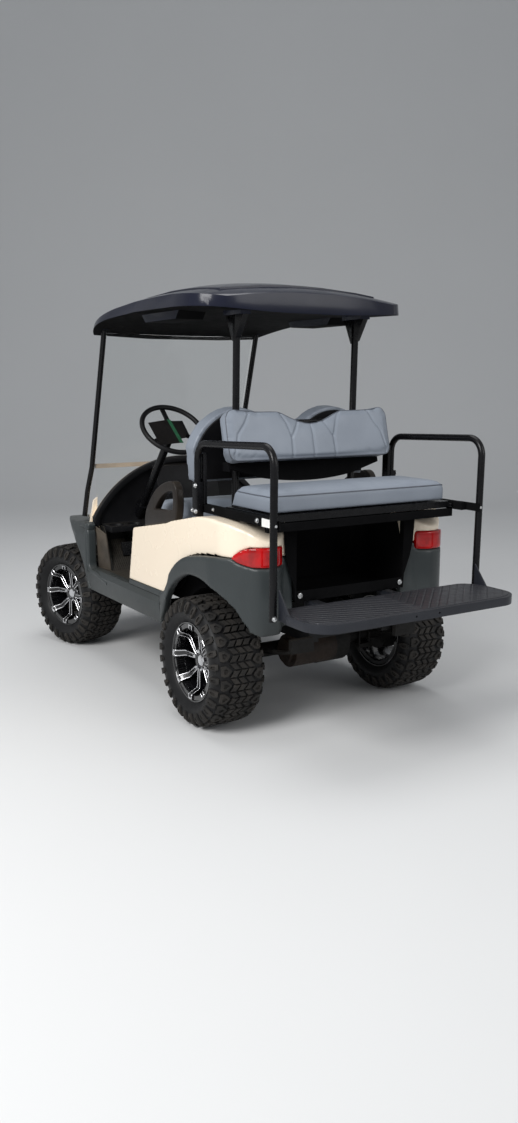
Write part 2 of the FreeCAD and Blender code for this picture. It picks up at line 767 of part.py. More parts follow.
def panel_ring(station, half, low, edge, crest):
    """The raised centre panel: the crown's own curve over a share of its width, lifted."""
    side = crest - (crest - edge) * panel_share ** 2
    return outline([
        (panel_share * half, low), (panel_share * half - panel_rise, side + panel_rise),
        (0.0, crest + panel_rise, "via"), (panel_rise - panel_share * half, side + panel_rise),
        (-panel_share * half, low),
    ], at_yz(station))


roof = Part.makeLoft([roof_ring(*row) for row in roof_sections], True, False)
roof_panel = Part.makeLoft([panel_ring(*row) for row in roof_sections[1:-1]], True, False)
strut_space = joined([main_struts, front_strut, mirrored(front_strut)])
hand_hold = [(300.0, 1840.0), (340.0, 1794.0), (660.0, 1794.0), (710.0, 1840.0)]
pocket_parts = []
for side in (1, -1):
    pocket_parts.append(block(0.0, 150.0, *sorted((side * 300.0, side * 350.0)), 1800.0 + seat_gap, 1860.0))
    pocket_parts.append(prism_y(hand_hold, *sorted((side * 350.0, side * 490.0))))
    pocket_parts.append(block(1180.0, 1240.0, *sorted((side * 450.0, side * 494.0)), 1786.0 + seat_gap,
            1800.0))
roof = joined([roof, roof_panel] + pocket_parts).cut(strut_space)
roof = max(roof.Solids, key=lambda solid: solid.Volume)
save("roof", [roof])

# Front cowl, lofted from the dash arch to the nose. Columns: station, inset from the dash's half width,
# bottom, shoulder, crest.
dash_half = skirt_inner
cowl_sections = [
    (1285.0, 0.0, 700.0, 785.0, 1103.0),
    (1400.0, 59.0, 695.0, 780.0, 1030.0),
    (1560.0, 105.0, 680.0, 765.0, 935.0),
    (1760.0, 165.0, 640.0, 725.0, 835.0),
    (1930.0, 255.0, 590.0, 660.0, 735.0),
    (nose_station, 375.0, 575.0, 605.0, 640.0),
]
cowl_wall = 12.0


def cowl_ring(station, inset, low, shoulder, crest, wall):
    half = dash_half - inset
    return outline([
        (half - wall, low), (half - wall, shoulder - wall), (0.0, crest - wall, "via"),
        (wall - half, shoulder - wall), (wall - half, low),
    ], at_yz(station))


cowl_outer = Part.makeLoft([cowl_ring(*row, 0.0) for row in cowl_sections], True, False)
inner_rows = [(row[0] - cowl_wall, row[1], row[2] - 40.0, row[3], row[4]) for row in cowl_sections]
cowl_inner = Part.makeLoft([cowl_ring(*row, cowl_wall) for row in inner_rows], True, False)
cowl = cowl_outer.cut(cowl_inner)
cowl = max(cowl.Solids, key=lambda solid: solid.Volume)

# Windshield: upper and lower panes and the strip that holds their meeting edges.
pane_half = 452.0
pane = 5.0
strip_foot = (1438.0, 1050.0)
pane_top = (1222.0, 1790.0)
lean = math.atan2(strip_foot[0] - pane_top[0], pane_top[1] - strip_foot[1])
upper = prism_y([
    (strip_foot[0] - 4.0, strip_foot[1] + 12.0), (strip_foot[0] - 4.0 + pane, strip_foot[1] + 12.0),
    (pane_top[0] + pane, pane_top[1] - 20.0), (pane_top[0], pane_top[1] - 20.0),
], -pane_half, pane_half)
lower = prism_x([
    (-pane_half, 800.0), (pane_half, 800.0), (pane_half, 1037.0), (-pane_half, 1037.0),
], 1436.0, 1436.0 + pane)
pane_seat = 0.6
upper = upper.cut(roof.translated(FreeCAD.Vector(0, 0, -pane_seat)))
lower = lower.cut(cowl_outer.translated(FreeCAD.Vector(0, 0, pane_seat)))
lower = max(lower.Solids, key=lambda solid: solid.Volume)
save("windshield", [upper, lower])
save("windshield_strip", [block(1429.0, 1447.0, -456.0, 456.0, 1037.3, 1061.7).cut(upper)])

# Front fenders: textured sides with the wheel arch, closed in to the cowl.
fender_top_line = [
    (1218.0, 751.0), (1255.0, 768.0, "via"), (1320.0, 771.0), (1512.0, 738.0), (1740.0, 737.0),
    (1950.0, 672.0), (nose_station - 4.0, 610.0),
]
front_fender_side = fender_top_line + [
    (nose_station - 4.0, 560.0), (1960.0, 500.0), (1400.0, 390.0), (1262.0, 390.0), skirt_nose,
    (skirt_front + seat_gap, 440.0), (skirt_front + seat_gap, 518.0), (1246.0, 677.0),
]
nose_half = body_half_width - 352.0
front_plan = [
    (1200.0, body_half_width), (1400.0, body_half_width + 4.0), (1512.0, body_half_width - 17.0),
    (1640.0, skirt_inner, "via"), (1760.0, body_inner), (1900.0, body_inner - 70.0, "via"),
    (nose_station - 4.0, nose_half + 2.0), (nose_station - 4.0, 0.0), (1200.0, 0.0),
]
front_arch_radius = 422.0
front_arch = rod((front_station, nose_half + 2.0, tyre_radius), (front_station, FAR, tyre_radius),
        front_arch_radius)
front_solid = prism_y(front_fender_side, 0.0, FAR).common(prism_z(front_plan, 0.0, FAR))
front_core_side = Part.Face(outline(front_fender_side, at_xz(0.0))).makeOffset2D(-14.0)
front_core_plan = Part.Face(outline(front_plan, at_xy(0.0))).makeOffset2D(-32.0)
front_core = front_core_side.extrude(FreeCAD.Vector(0, FAR, 0)).common(
    front_core_plan.extrude(FreeCAD.Vector(0, 0, FAR)))
inner_space = block(1200.0, nose_station + 50.0, 0.0, nose_half + 2.0, 0.0, FAR)
door_space = block(1200.0, 1290.0, 0.0, dash_half + 3.0, 0.0, FAR)
front_fender = trimmed(front_solid, [front_core, front_arch, inner_space, door_space, cowl_outer])
front_fender = max(front_fender.Solids, key=lambda solid: solid.Volume)

headlamp_front = prism_x([(nose_half + 14.0, 618.0), (nose_half + 104.0, 630.0), (nose_half + 144.0, 668.0),
                          (nose_half + 52.0, 674.0)], 1850.0, FAR)
headlamp_reach = prism_z(front_plan, 0.0, FAR).cut(
    Part.Face(outline(front_plan, at_xy(0.0))).makeOffset2D(-36.0).extrude(FreeCAD.Vector(0, 0, FAR)))
headlamp = headlamp_front.common(headlamp_reach).cut(cowl_outer)
headlamp = max(headlamp.Solids, key=lambda solid: solid.Volume)
front_fender = front_fender.cut(headlamp_front)
front_fender = max(front_fender.Solids, key=lambda solid: solid.Volume)
save("front_cowl", [cowl.cut(headlamp_front).cut(mirrored(headlamp_front))])
save("front_fenders", both_sides(front_fender))
save("headlamps", both_sides(headlamp))

# Front bumper: centre shield below the cowl.
bumper_wall = 12.0
bumper_plan = [
    (1900.0, nose_half), (nose_station - 30.0, nose_half), (nose_station, 0.0, "via"),
    (nose_station - 30.0, -nose_half), (1900.0, -nose_half), (1900.0, bumper_wall - nose_half),
    (nose_station - 44.0, bumper_wall - nose_half), (nose_station - 14.0, 0.0, "via"),
    (nose_station - 44.0, nose_half - bumper_wall), (1900.0, nose_half - bumper_wall),
]
bumper = prism_z(bumper_plan, 440.0, 574.0)
bumper = trimmed(bumper, [cowl_outer])
bumper_mount = block(rail_end + seat_gap, nose_station - 8.0, -60.0, 60.0, 450.0, 490.0)
save("front_bumper", [joined([bumper, bumper_mount])])

# Dash: arch trim, back wall, centre console, shelf with cup rings, lower panel.
dash_back = 1284.7
dash_wall = 1272.0
arch_width = 33.0
shelf_half = dash_half - 47.0
dash_arch = [(-dash_half, 735.0), (-dash_half, 785.0), (0.0, 1103.0, "via"), (dash_half, 785.0),
        (dash_half, 735.0)]
dash_arch_inner = [(arch_width - dash_half, 700.0), (arch_width - dash_half, 785.0),
        (0.0, 1103.0 - arch_width, "via"),
                   (dash_half - arch_width, 785.0), (dash_half - arch_width, 700.0)]
arch_ring = prism_x(dash_arch, 1252.0, dash_back).cut(prism_x(dash_arch_inner, 1200.0, dash_wall))
console = prism_y([(1272.0, 745.0), (1272.0, 1060.0), (1215.0, 1052.0), (1165.0, 900.0), (1160.0, 745.0)],
                  -190.0, 190.0)
shelf = block(1130.0, dash_wall, -shelf_half, shelf_half, 712.0, 745.0)
for station, place in ((1195.0, 440.0), (1195.0, 330.0), (1195.0, -330.0), (1195.0, -440.0)):
    shelf = shelf.cut(rod((station, place, 722.0), (station, place, 800.0), 40.0))
lower_panel = block(pan_front + seat_gap, dash_wall, -shelf_half, shelf_half, floor_top + 1.0, 712.0)
dash = joined([arch_ring, console, shelf, lower_panel])
save("dash", [dash])

# Pedals on hanging arms.
pedal_parts = []
for place, width in ((250.0, 60.0), (372.0, 90.0)):
    plate = prism_y([(1165.0, 575.0), (1173.0, 571.0), (1203.0, 640.0), (1195.0, 644.0)],
                    place - width / 2.0, place + width / 2.0)
    stem = rod((1190.0, place, 616.0), (1261.0, place, 690.0), 7.0)
    pedal_parts.append(joined([plate, stem]).cut(floor_pan).cut(dash))
save("pedals", pedal_parts)

# Steering column and wheel.
rake = math.radians(steering_rake)
column_direction = (-math.cos(rake), 0.0, math.sin(rake))


def along_column(distance):
    return tuple(centre + distance * step for centre, step in zip(wheel_centre, column_direction))


hub_depth = 42.0
column_gap = 0.5
column_length = (dash_wall - wheel_centre[0]) / math.cos(rake) + 30.0
column = rod(along_column(-column_length), along_column(-hub_depth - column_gap), 21.0)
boot = rod(along_column(-column_length), along_column(90.0 - column_length), 34.0)
column = joined([column, boot]).cut(block(dash_wall - seat_gap, FAR, -FAR, FAR, 0.0, FAR))
column = max(column.Solids, key=lambda solid: solid.Volume)
save("steering_column", [column])
wheel_radius = 165.0
grip_radius = 13.0
wheel_parts = [Part.makeTorus(wheel_radius, grip_radius)]
wheel_parts.append(Part.makeCylinder(30.0, hub_depth + 6.0, FreeCAD.Vector(0, 0, -hub_depth)))
for angle in (0.0, 120.0, 240.0):
    spoke = Part.makeBox(wheel_radius - 15.0, 24.0, 8.0, FreeCAD.Vector(18.0, -12.0, -14.0))
    spoke.rotate(FreeCAD.Vector(0, 0, 0), FreeCAD.Vector(0, 0, 1), angle)
    wheel_parts.append(spoke)
wheel_parts.append(Part.makeBox(100.0, 140.0, 8.0, FreeCAD.Vector(-50.0, -70.0, 4.0)))
steering = joined(wheel_parts)
steering.rotate(FreeCAD.Vector(0, 0, 0), FreeCAD.Vector(0, 1, 0), steering_rake - 90.0)
steering.translate(FreeCAD.Vector(*wheel_centre))
save("steering_wheel", [steering])

# Rear seat frame: side rails, cross members, corner brackets.
rail_low = deck_top + 4.0
rail_high = 985.0
side_rail_in = 490.0
side_rail_out = 520.0
frame_rear = -505.0
frame_front = 88.0
seat_frame_parts = []
for side in (1, -1):
    seat_frame_parts.append(block(frame_rear, frame_front,
            *sorted((side * side_rail_in, side * side_rail_out)),
                                  rail_low, rail_high))
    seat_frame_parts.append(block(-585.0, -470.0, *sorted((side * side_rail_out,
            side * (arm_half_spread - arm_radius
                                  - seat_gap))), rail_low, rail_high))
seat_frame_parts.append(block(-448.0, -418.0, -side_rail_in, side_rail_in, 918.0, rail_low + 1.0))
for side in (1, -1):
    seat_frame_parts.append(block(-448.0, -418.0, *sorted((side * (side_rail_in - 6.0), side * side_rail_in)),
                                  918.0, rail_high))
seat_frame_parts.append(block(-60.0, -30.0, -side_rail_in, side_rail_in, rail_low, rail_low + 5.0))
save("rear_seat_frame", [joined(seat_frame_parts)])

# Rear arms: hoop tubes with sockets at the front foot.
arm_front = 55.0
arm_rear_top = -568.0
arm_foot = 933.8
post_foot = 586.0
hoop = bent_tube([
    (arm_front, arm_half_spread, arm_foot), (arm_front - 5.0, arm_half_spread, 1250.0),
    (arm_rear_top, arm_half_spread, 1270.0), (-558.0, arm_half_spread, post_foot),
], arm_radius, 75.0)
socket_face = arm_half_spread + arm_radius + 3.0
socket = block(arm_front - 22, arm_front + 22, side_rail_out + seat_gap, socket_face, arm_foot, 1085.0)
socket_back = block(arm_front - 22, arm_front + 22, side_rail_out - 17.0, side_rail_out + 1.0,
                    rail_high + seat_gap, 1085.0)
save("rear_arms", both_sides(joined([hoop, socket, socket_back])))

# Rear backrest: padded board with a dip in its top edge, and a shell that reaches below it.
rest_half = 445.0
rest_low = 1160.0
rest_high = 1382.0
dip_low = 1332.0
rest_face = -70.0
rest_thickness = 66.0
rest_outline = [
    (-rest_half + 55.0, rest_low), (rest_half - 55.0, rest_low), (rest_half - 14.0, rest_low + 14.0, "via"),
    (rest_half, rest_low + 60.0), (rest_half, rest_high - 60.0), (rest_half - 15.0, rest_high - 14.0, "via"),
    (rest_half - 60.0, rest_high), (170.0, rest_high), (70.0, dip_low + 12.0), (0.0, dip_low, "via"),
    (-70.0, dip_low + 12.0), (-170.0, rest_high), (60.0 - rest_half, rest_high),
    (15.0 - rest_half, rest_high - 14.0, "via"), (-rest_half, rest_high - 60.0),
            (-rest_half, rest_low + 60.0),
    (14.0 - rest_half, rest_low + 14.0, "via"),
]
rest_foot = (rest_face, 0.0, rest_low)
rest_pad = leaned(prism_x(rest_outline, rest_face, rest_face + rest_thickness), rest_foot, seat_tilt)
save("rear_back_pad", [rest_pad])
rest_shell_outline = [
    (-410.0, rest_low - 6.0), (-250.0, rest_low - 52.0), (0.0, rest_low - 74.0, "via"),
            (250.0, rest_low - 52.0),
    (410.0, rest_low - 6.0), (410.0, rest_high - 70.0), (-410.0, rest_high - 70.0),
]
rest_shell = leaned(prism_x(rest_shell_outline, rest_face + rest_thickness + seat_gap,
                            rest_face + rest_thickness + 12.0), rest_foot, seat_tilt)
rest_brackets = []
for side in (1, -1):
    rest_brackets.append(block(10.0, 94.0, *sorted((side * 306.0, side * 344.0)), 1190.0, 1226.0))
rest_shell = joined([rest_shell] + rest_brackets).cut(main_struts)
rest_shell = rest_shell.cut(leaned(prism_x(rest_outline, rest_face - 20.0,
        rest_face + rest_thickness + seat_gap),
                                   rest_foot, seat_tilt))
rest_shell = max(rest_shell.Solids, key=lambda solid: solid.Volume)
save("rear_back_shell", [rest_shell])

# Footplate with its two support bars and side gussets.
plate_bottom = plate_top - plate_thickness
bar_half = 20.0
plate_plan = [
    (-540.0, -430.0), (-540.0, 430.0), (-545.0, 470.0, "via"), (-580.0, 500.0), (-640.0, plate_half_width),
    (-745.0, plate_half_width), (-820.0, 498.0, "via"), (tail_station + 3.0, 420.0),
            (tail_station, 0.0, "via"),
    (tail_station + 3.0, -420.0), (-820.0, -498.0, "via"), (-745.0, -plate_half_width),
    (-640.0, -plate_half_width), (-580.0, -500.0), (-545.0, -470.0, "via"),
]
plate_parts = [prism_z(plate_plan, plate_bottom, plate_top)]
for side in (1, -1):
    bar = sorted((side * (half_spread - bar_half), side * (half_spread + bar_half)))
    plate_parts.append(block(-700.0, -308.0, *bar, 562.0, plate_bottom + 1.0))
    plate_parts.append(block(-342.0, -308.0, *bar, rail_top + seat_gap, 590.0))
    gusset = prism_y([(-574.0, 715.0), (-574.0, 592.0), (-655.0, 592.0), (-655.0, 618.0)],
                     side * 518.0, side * 524.0)
    plate_parts.append(gusset)
hole_spacing = 120.0
footplate = joined(plate_parts)
for place in (-hole_spacing / 2.0, hole_spacing / 2.0):
    footplate = footplate.cut(rod((tail_station - 10.0, place, 607.0),
            (tail_station + 35.0, place, 607.0), 4.5))
save("footplate", [footplate])

# Rear seat: cushion on a tray that turns about the rear edge to make a load deck.
tray_half = side_rail_in - 6.0 - 5.5
tray_low = rail_low + 6.0
tray_rear = seat_hinge_station + 10.0
tray_front = -85.0
tray = block(tray_rear, tray_front, -tray_half, tray_half, tray_low, rail_high)
tray = tray.cut(block(tray_rear + 6, tray_front - 6, 6 - tray_half, tray_half - 6, 0.0, rail_high - 5.0))
seat_hinge_height = rail_high - 17.0
ear_radius = 9.0
pin_radius = 5.0
pin_gap = 0.6
tray_parts = [tray]
for side in (1, -1):
    hinge = (seat_hinge_station, seat_hinge_height)
    near = side * (tray_half - 10.0)
    tray_parts.append(rod((hinge[0], near, hinge[1]), (hinge[0], side * tray_half, hinge[1]), ear_radius))
    tray_parts.append(block(hinge[0], tray_rear + 4.0, *sorted((near, side * tray_half)),
                            hinge[1] - ear_radius, hinge[1] + ear_radius))
    tray_parts.append(rod((hinge[0], near, hinge[1]),
            (hinge[0], side * (side_rail_in - 6.0 - pin_gap), hinge[1]),
                          pin_radius))
save("rear_seat_panel", [joined(tray_parts)])
seat_half = 470.0
seat_low = rail_high + seat_gap
seat_side = [
    (-430.0, seat_low), (-90.0, seat_low), (-92.0, 1040.0), (-110.0, 1064.0, "via"), (-145.0, 1072.0),
    (-280.0, 1086.0, "via"), (-405.0, 1080.0), (-424.0, 1070.0, "via"), (-432.0, 1050.0),
]
seat_cross = [
    (-seat_half, 900.0), (seat_half, 900.0), (seat_half, 1045.0), (seat_half - 14.0, 1066.0, "via"),
    (seat_half - 40.0, 1074.0), (0.0, 1090.0, "via"), (40.0 - seat_half, 1074.0),
    (14.0 - seat_half, 1066.0, "via"), (-seat_half, 1045.0),
]
rear_cushion = prism_y(seat_side, -FAR, FAR).common(prism_x(seat_cross, -600.0, 0.0))
save("rear_seat_cushion", [rear_cushion])
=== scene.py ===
# %% [markdown]
# # A lifted golf cart, dressed over its CAD frame
# The frame comes in with every rigid part at its real size and place. Each cell below either
# finds a finish for some of those parts or builds a better skin that stands for one of them.
# Lengths are metres. "Station" is the distance ahead of the rear axle, as in the part's source.

# %% Frame and first measurements
import math
import bpy
import bmesh
import numpy as np
from mathutils import Matrix, Vector
from mathutils.bvhtree import BVHTree


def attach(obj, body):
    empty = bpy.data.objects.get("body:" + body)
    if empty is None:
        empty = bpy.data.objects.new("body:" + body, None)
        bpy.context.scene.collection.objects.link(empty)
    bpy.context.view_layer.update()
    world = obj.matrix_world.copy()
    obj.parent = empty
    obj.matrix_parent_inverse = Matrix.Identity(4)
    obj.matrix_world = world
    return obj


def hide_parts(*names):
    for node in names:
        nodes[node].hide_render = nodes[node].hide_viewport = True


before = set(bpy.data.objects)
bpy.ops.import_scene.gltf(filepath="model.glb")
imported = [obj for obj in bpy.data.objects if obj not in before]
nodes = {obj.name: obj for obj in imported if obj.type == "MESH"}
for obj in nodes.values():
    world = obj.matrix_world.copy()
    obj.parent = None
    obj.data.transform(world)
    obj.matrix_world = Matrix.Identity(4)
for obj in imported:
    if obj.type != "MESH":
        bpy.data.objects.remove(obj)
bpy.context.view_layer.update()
REAR_AXLE_X = -0.5845
WHEEL_RADIUS = 0.292
print("CAD nodes:", len(nodes))

# %% [markdown]
# ## Tools for skins
# A skin is a set of points with rows of faces. It could be typed face by face, but a golf cart
# is mostly tubes, turned parts and crowned panels, so a few whole-array formulas cover nearly all
# of it. The next two cells hold what they share: gathering points and faces, and making a piece.

# %% Points and faces


class Skin:
    """Points, and arrays of faces whose rows have equal length, gathered for one piece."""

    def __init__(self):
        self.points, self.faces, self.finishes, self.count = [], [], [], 0

    def add(self, points, *faces, finish=0):
        """finish is one number for all the face arrays, or a tuple with one number for each."""
        points = np.asarray(points, float).reshape(-1, 3)
        kinds = finish if isinstance(finish, tuple) else (finish,) * len(faces)
        for rows, kind in zip(faces, kinds):
            self.faces.append(np.asarray(rows, int) + self.count)
            self.finishes.append(kind)
        self.points.append(points)
        self.count += len(points)
        return self


def grid_faces(rows, cols, wrap_rows=False, wrap_cols=False):
    """Quads (i,j) (i+1,j) (i+1,j+1) (i,j+1) over points numbered row by row."""
    i = np.arange(rows if wrap_rows else rows - 1)[:, None]
    j = np.arange(cols if wrap_cols else cols - 1)[None, :]
    below, right = (i + 1) % rows, (j + 1) % cols
    quads = [i * cols + j, below * cols + j, below * cols + right, i * cols + right]
    return np.stack(quads, -1).reshape(-1, 4)


def end_caps(rows, cols):
    """The first ring and the last ring as one face each."""
    return [np.arange(cols)[None, ::-1], np.arange(cols)[None, :] + (rows - 1) * cols]


def ring_stack(skin, points, finish=0):
    """Rings joined in order, point k of one to point k of the next; the end rings become faces."""
    rows, cols = points.shape[:2]
    return skin.add(points, grid_faces(rows, cols, wrap_cols=True), *end_caps(rows, cols), finish=finish)


print("faces of a tube of 4 rings of 12 points:", len(grid_faces(4, 12, wrap_cols=True)))

# %% [markdown]
# ## From arrays to a piece
# Blender can take faces one at a time, but whole arrays go in at once, which is far quicker. The
# piece then gets its outward side, its finishes and the body it rides on, and it hides the CAD nodes
# that it stands for.

# %% A piece from a skin


def make_piece(name, skin, finishes, body, stands_for=(), smooth_angle=35.0):
    """Joins a skin's arrays into one mesh with outward normals and rides it on its body."""
    mesh = bpy.data.meshes.new(name)
    points = np.concatenate(skin.points)
    corners = np.concatenate([rows.ravel() for rows in skin.faces])
    sizes = np.concatenate([np.full(len(rows), rows.shape[1]) for rows in skin.faces])
    kinds = np.concatenate([np.full(len(rows), finish) for rows, finish in zip(skin.faces, skin.finishes)])
    mesh.vertices.add(len(points))
    mesh.vertices.foreach_set("co", points.astype(np.float32).ravel())
    mesh.loops.add(len(corners))
    mesh.loops.foreach_set("vertex_index", corners.astype(np.int32))
    mesh.polygons.add(len(sizes))
    mesh.polygons.foreach_set("loop_start", (np.cumsum(sizes) - sizes).astype(np.int32))
    mesh.polygons.foreach_set("material_index", kinds.astype(np.int32))
    mesh.update(calc_edges=True)
    mesh.validate()
    face_outwards(mesh)
    piece = bpy.data.objects.new(name, mesh)
    bpy.context.scene.collection.objects.link(piece)
    return dress(piece, finishes, body, stands_for, smooth_angle)


def face_outwards(mesh, merge=0.0):
    """Each closed shell gets its normals turned outward; merge joins points closer than that."""
    work = bmesh.new()
    work.from_mesh(mesh)
    if merge:
        bmesh.ops.remove_doubles(work, verts=work.verts, dist=merge)
    bmesh.ops.recalc_face_normals(work, faces=work.faces)
    work.to_mesh(mesh)
    work.free()


def dress(piece, finishes, body, stands_for=(), smooth_angle=35.0):
    """Gives a piece its finishes, shading and body, and hides the CAD nodes it stands for."""
    for finish in finishes:
        piece.data.materials.append(finish)
    piece.data.polygons.foreach_set("use_smooth", np.ones(len(piece.data.polygons), bool))
    if smooth_angle < 180.0:
        piece.data.set_sharp_from_angle(angle=math.radians(smooth_angle))
    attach(piece, body)
    if stands_for:
        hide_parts(*stands_for)
    return piece


def place(points):
    """Stations to the frame's own x: the rear axle's place is added."""
    return np.asarray(points, float) + np.array([REAR_AXLE_X, 0.0, 0.0])


print("rear axle in the frame:", place([0.0, 0.0, WHEEL_RADIUS]))

# %% [markdown]
# ## Three ways to make a surface
# A tube is a circle carried along bent legs, a wheel part is a profile turned about its axle, and a
# curved outline is a smooth line through a few measured points. Curve objects could do some of this,
# but arrays keep every point where the formula puts it.

# %% Bent paths and profiles


def bent_path(corners, bend, steps=8):
    """Straight legs joined by arcs: each corner becomes the arc of radius bend that touches both legs."""
    corners = np.asarray(corners, float)
    path = [corners[:1]]
    for before, corner, after in zip(corners, corners[1:], corners[2:]):
        back, ahead = before - corner, after - corner
        back, ahead = back / np.linalg.norm(back), ahead / np.linalg.norm(ahead)
        half = math.acos(np.clip(back @ ahead, -1, 1)) / 2
        reach = bend / math.tan(half)
        centre = corner + (back + ahead) / np.linalg.norm(back + ahead) * bend / math.sin(half)
        start, end = corner + back * reach - centre, corner + ahead * reach - centre
        sweep = math.pi - 2 * half
        t = np.linspace(0, 1, steps + 1)[:, None]
        path.append(centre + (start * np.sin((1 - t) * sweep) + end * np.sin(t * sweep)) / math.sin(sweep))
    path.append(corners[-1:])
    return np.concatenate(path)


def circle(radius, count=20):
    """Round profile: (radius cos a, radius sin a)."""
    a = np.linspace(0, 2 * np.pi, count, endpoint=False)
    return np.stack([radius * np.cos(a), radius * np.sin(a)], 1)


def rounded_bar(width, height, corner, steps=4):
    """Rectangle profile whose corners are quarter circles."""
    a = np.linspace(0, np.pi / 2, steps + 1)
    arcs = []
    for number, (sx, sy) in enumerate(((1, 1), (-1, 1), (-1, -1), (1, -1))):
        turn = a + number * np.pi / 2
        arcs.append(np.stack([sx * (width / 2 - corner) + corner * np.cos(turn),
                              sy * (height / 2 - corner) + corner * np.sin(turn)], 1))
    return np.concatenate(arcs)


print("points of one bend:", len(bent_path([(0, 0, 0), (1, 0, 0), (1, 1, 0)], 0.1)))

# %% A profile carried along a path


def carried(path, profile, side=None):
    """A profile carried along a path: point = path + first x side + second x (tangent x side).
    At a bend the profile stands on the bisecting plane. side is the path plane's normal."""
    path = np.asarray(path, float)
    tangent = np.gradient(path, axis=0)
    tangent /= np.linalg.norm(tangent, axis=1)[:, None]
    if side is None:
        side = np.cross(path[-1] - path[0], [0.0, 0.0, 1.0])
        side = side if np.linalg.norm(side) > 1e-6 else np.array([1.0, 0.0, 0.0])
    side = np.asarray(side, float)
    side = side - (tangent @ side)[:, None] * tangent
    side /= np.linalg.norm(side, axis=1)[:, None]
    up = np.cross(tangent, side)
    return path[:, None] + profile[None, :, :1] * side[:, None] + profile[None, :, 1:] * up[:, None]


print("a straight tube of two rings:", carried([(0, 0, 0), (1, 0, 0)], circle(0.01)).shape)

# %% A profile turned about an axle


def turned(profile, steps, centre=(0, 0, 0), axis_x=(1, 0, 0), axis_y=(0, 1, 0)):
    """A profile of (along, radius) turned about an axle: centre + along x axis_y + radius (cos a, sin a)."""
    profile = np.asarray(profile, float)
    a = np.linspace(0, 2 * np.pi, steps, endpoint=False)[:, None]
    axis_x, axis_y = np.asarray(axis_x, float), np.asarray(axis_y, float)
    axis_z = np.cross(axis_x, axis_y)
    round_part = np.cos(a)[..., None] * axis_x + np.sin(a)[..., None] * axis_z
    return np.asarray(centre, float) + profile[None, :, :1] * axis_y + profile[None, :, 1:] * round_part


def add_turned(skin, profile, steps, finish=0, closed=True, **place_of):
    """A turned profile; closed joins its last point to its first, otherwise both ends become faces."""
    points = turned(profile, steps, **place_of)
    rows, cols = points.shape[:2]
    if closed:
        return skin.add(points, grid_faces(rows, cols, True, True), finish=finish)
    ends = [(np.arange(rows) * cols)[None, :], (np.arange(rows) * cols + cols - 1)[None, ::-1]]
    return skin.add(points, grid_faces(rows, cols, True, False), *ends, finish=finish)


print("a disc's two circles:", turned([(0, 0.1), (0, 0.2)], 24).shape)

# %% A smooth line through points


def eased_line(points, count):
    """A smooth curve through points: a cubic (Catmull-Rom) between each pair, count samples in all."""
    points = np.asarray(points, float)
    ends = np.concatenate([2 * points[:1] - points[1:2], points, 2 * points[-1:] - points[-2:-1]])
    t = np.linspace(0, len(points) - 1 - 1e-9, count)
    k = t.astype(int)
    u = (t - k)[:, None]
    a, b, c, d = ends[k], ends[k + 1], ends[k + 2], ends[k + 3]
    return 0.5 * (2 * b + (c - a) * u + (2 * a - 5 * b + 4 * c - d) * u ** 2
                  + (3 * b - a - 3 * c + d) * u ** 3)


print("samples of a smooth line:", len(eased_line([(0, 0), (1, 1), (2, 0)], 9)))

# %% [markdown]
# ## Finishes
# Every finish starts as one shader with a colour that drifts between two close tones, a roughness
# that is never quite even, and one or two grains of relief in real millimetres. That is cheap, reads
# Object coordinates, and so it stays put when a wheel turns or the seat flips.

# %% Nodes and colours in one line each


def wire(tree, kind, settings=None, sockets=None):
    """Adds a shader node, sets its properties, and fills or links its sockets."""
    made = tree.nodes.new("ShaderNode" + kind)
    for key, value in (settings or {}).items():
        setattr(made, key, value)
    for key, value in (sockets or {}).items():
        if isinstance(value, bpy.types.NodeSocket):
            tree.links.new(value, made.inputs[key])
        else:
            made.inputs[key].default_value = value
    return made


def linear(red, green, blue):
    """Screen colour 0-255 to the linear colour that the shader wants."""
    c = np.array([red, green, blue]) / 255.0
    c = np.where(c <= 0.04045, c / 12.92, ((c + 0.055) / 1.055) ** 2.4)
    return (*c.tolist(), 1.0)


print("middle grey in linear light:", round(linear(128, 128, 128)[0], 3))

# %% One recipe for most finishes
PATCH_LOW, PATCH_HIGH = 0.35, 0.65
WEAR_LOW, WEAR_HIGH, WEAR_SCALE = 0.3, 0.7, 5.0
DUST_TILT, DUST_SCALE, SPLASH = 0.3, 55.0, 1.5
GRAINS = {
    # pattern: texture, settings, sockets (its Scale is divided by the grain's size), output for the height
    "cells": ("TexVoronoi", {"feature": "SMOOTH_F1"}, {}, "Distance"),
    "ribs": ("TexWave", {"bands_direction": "Y"}, {"Scale": 0.314}, "Fac"),
    "noise": ("TexNoise", None, {"Detail": 3.0}, "Fac"),
}


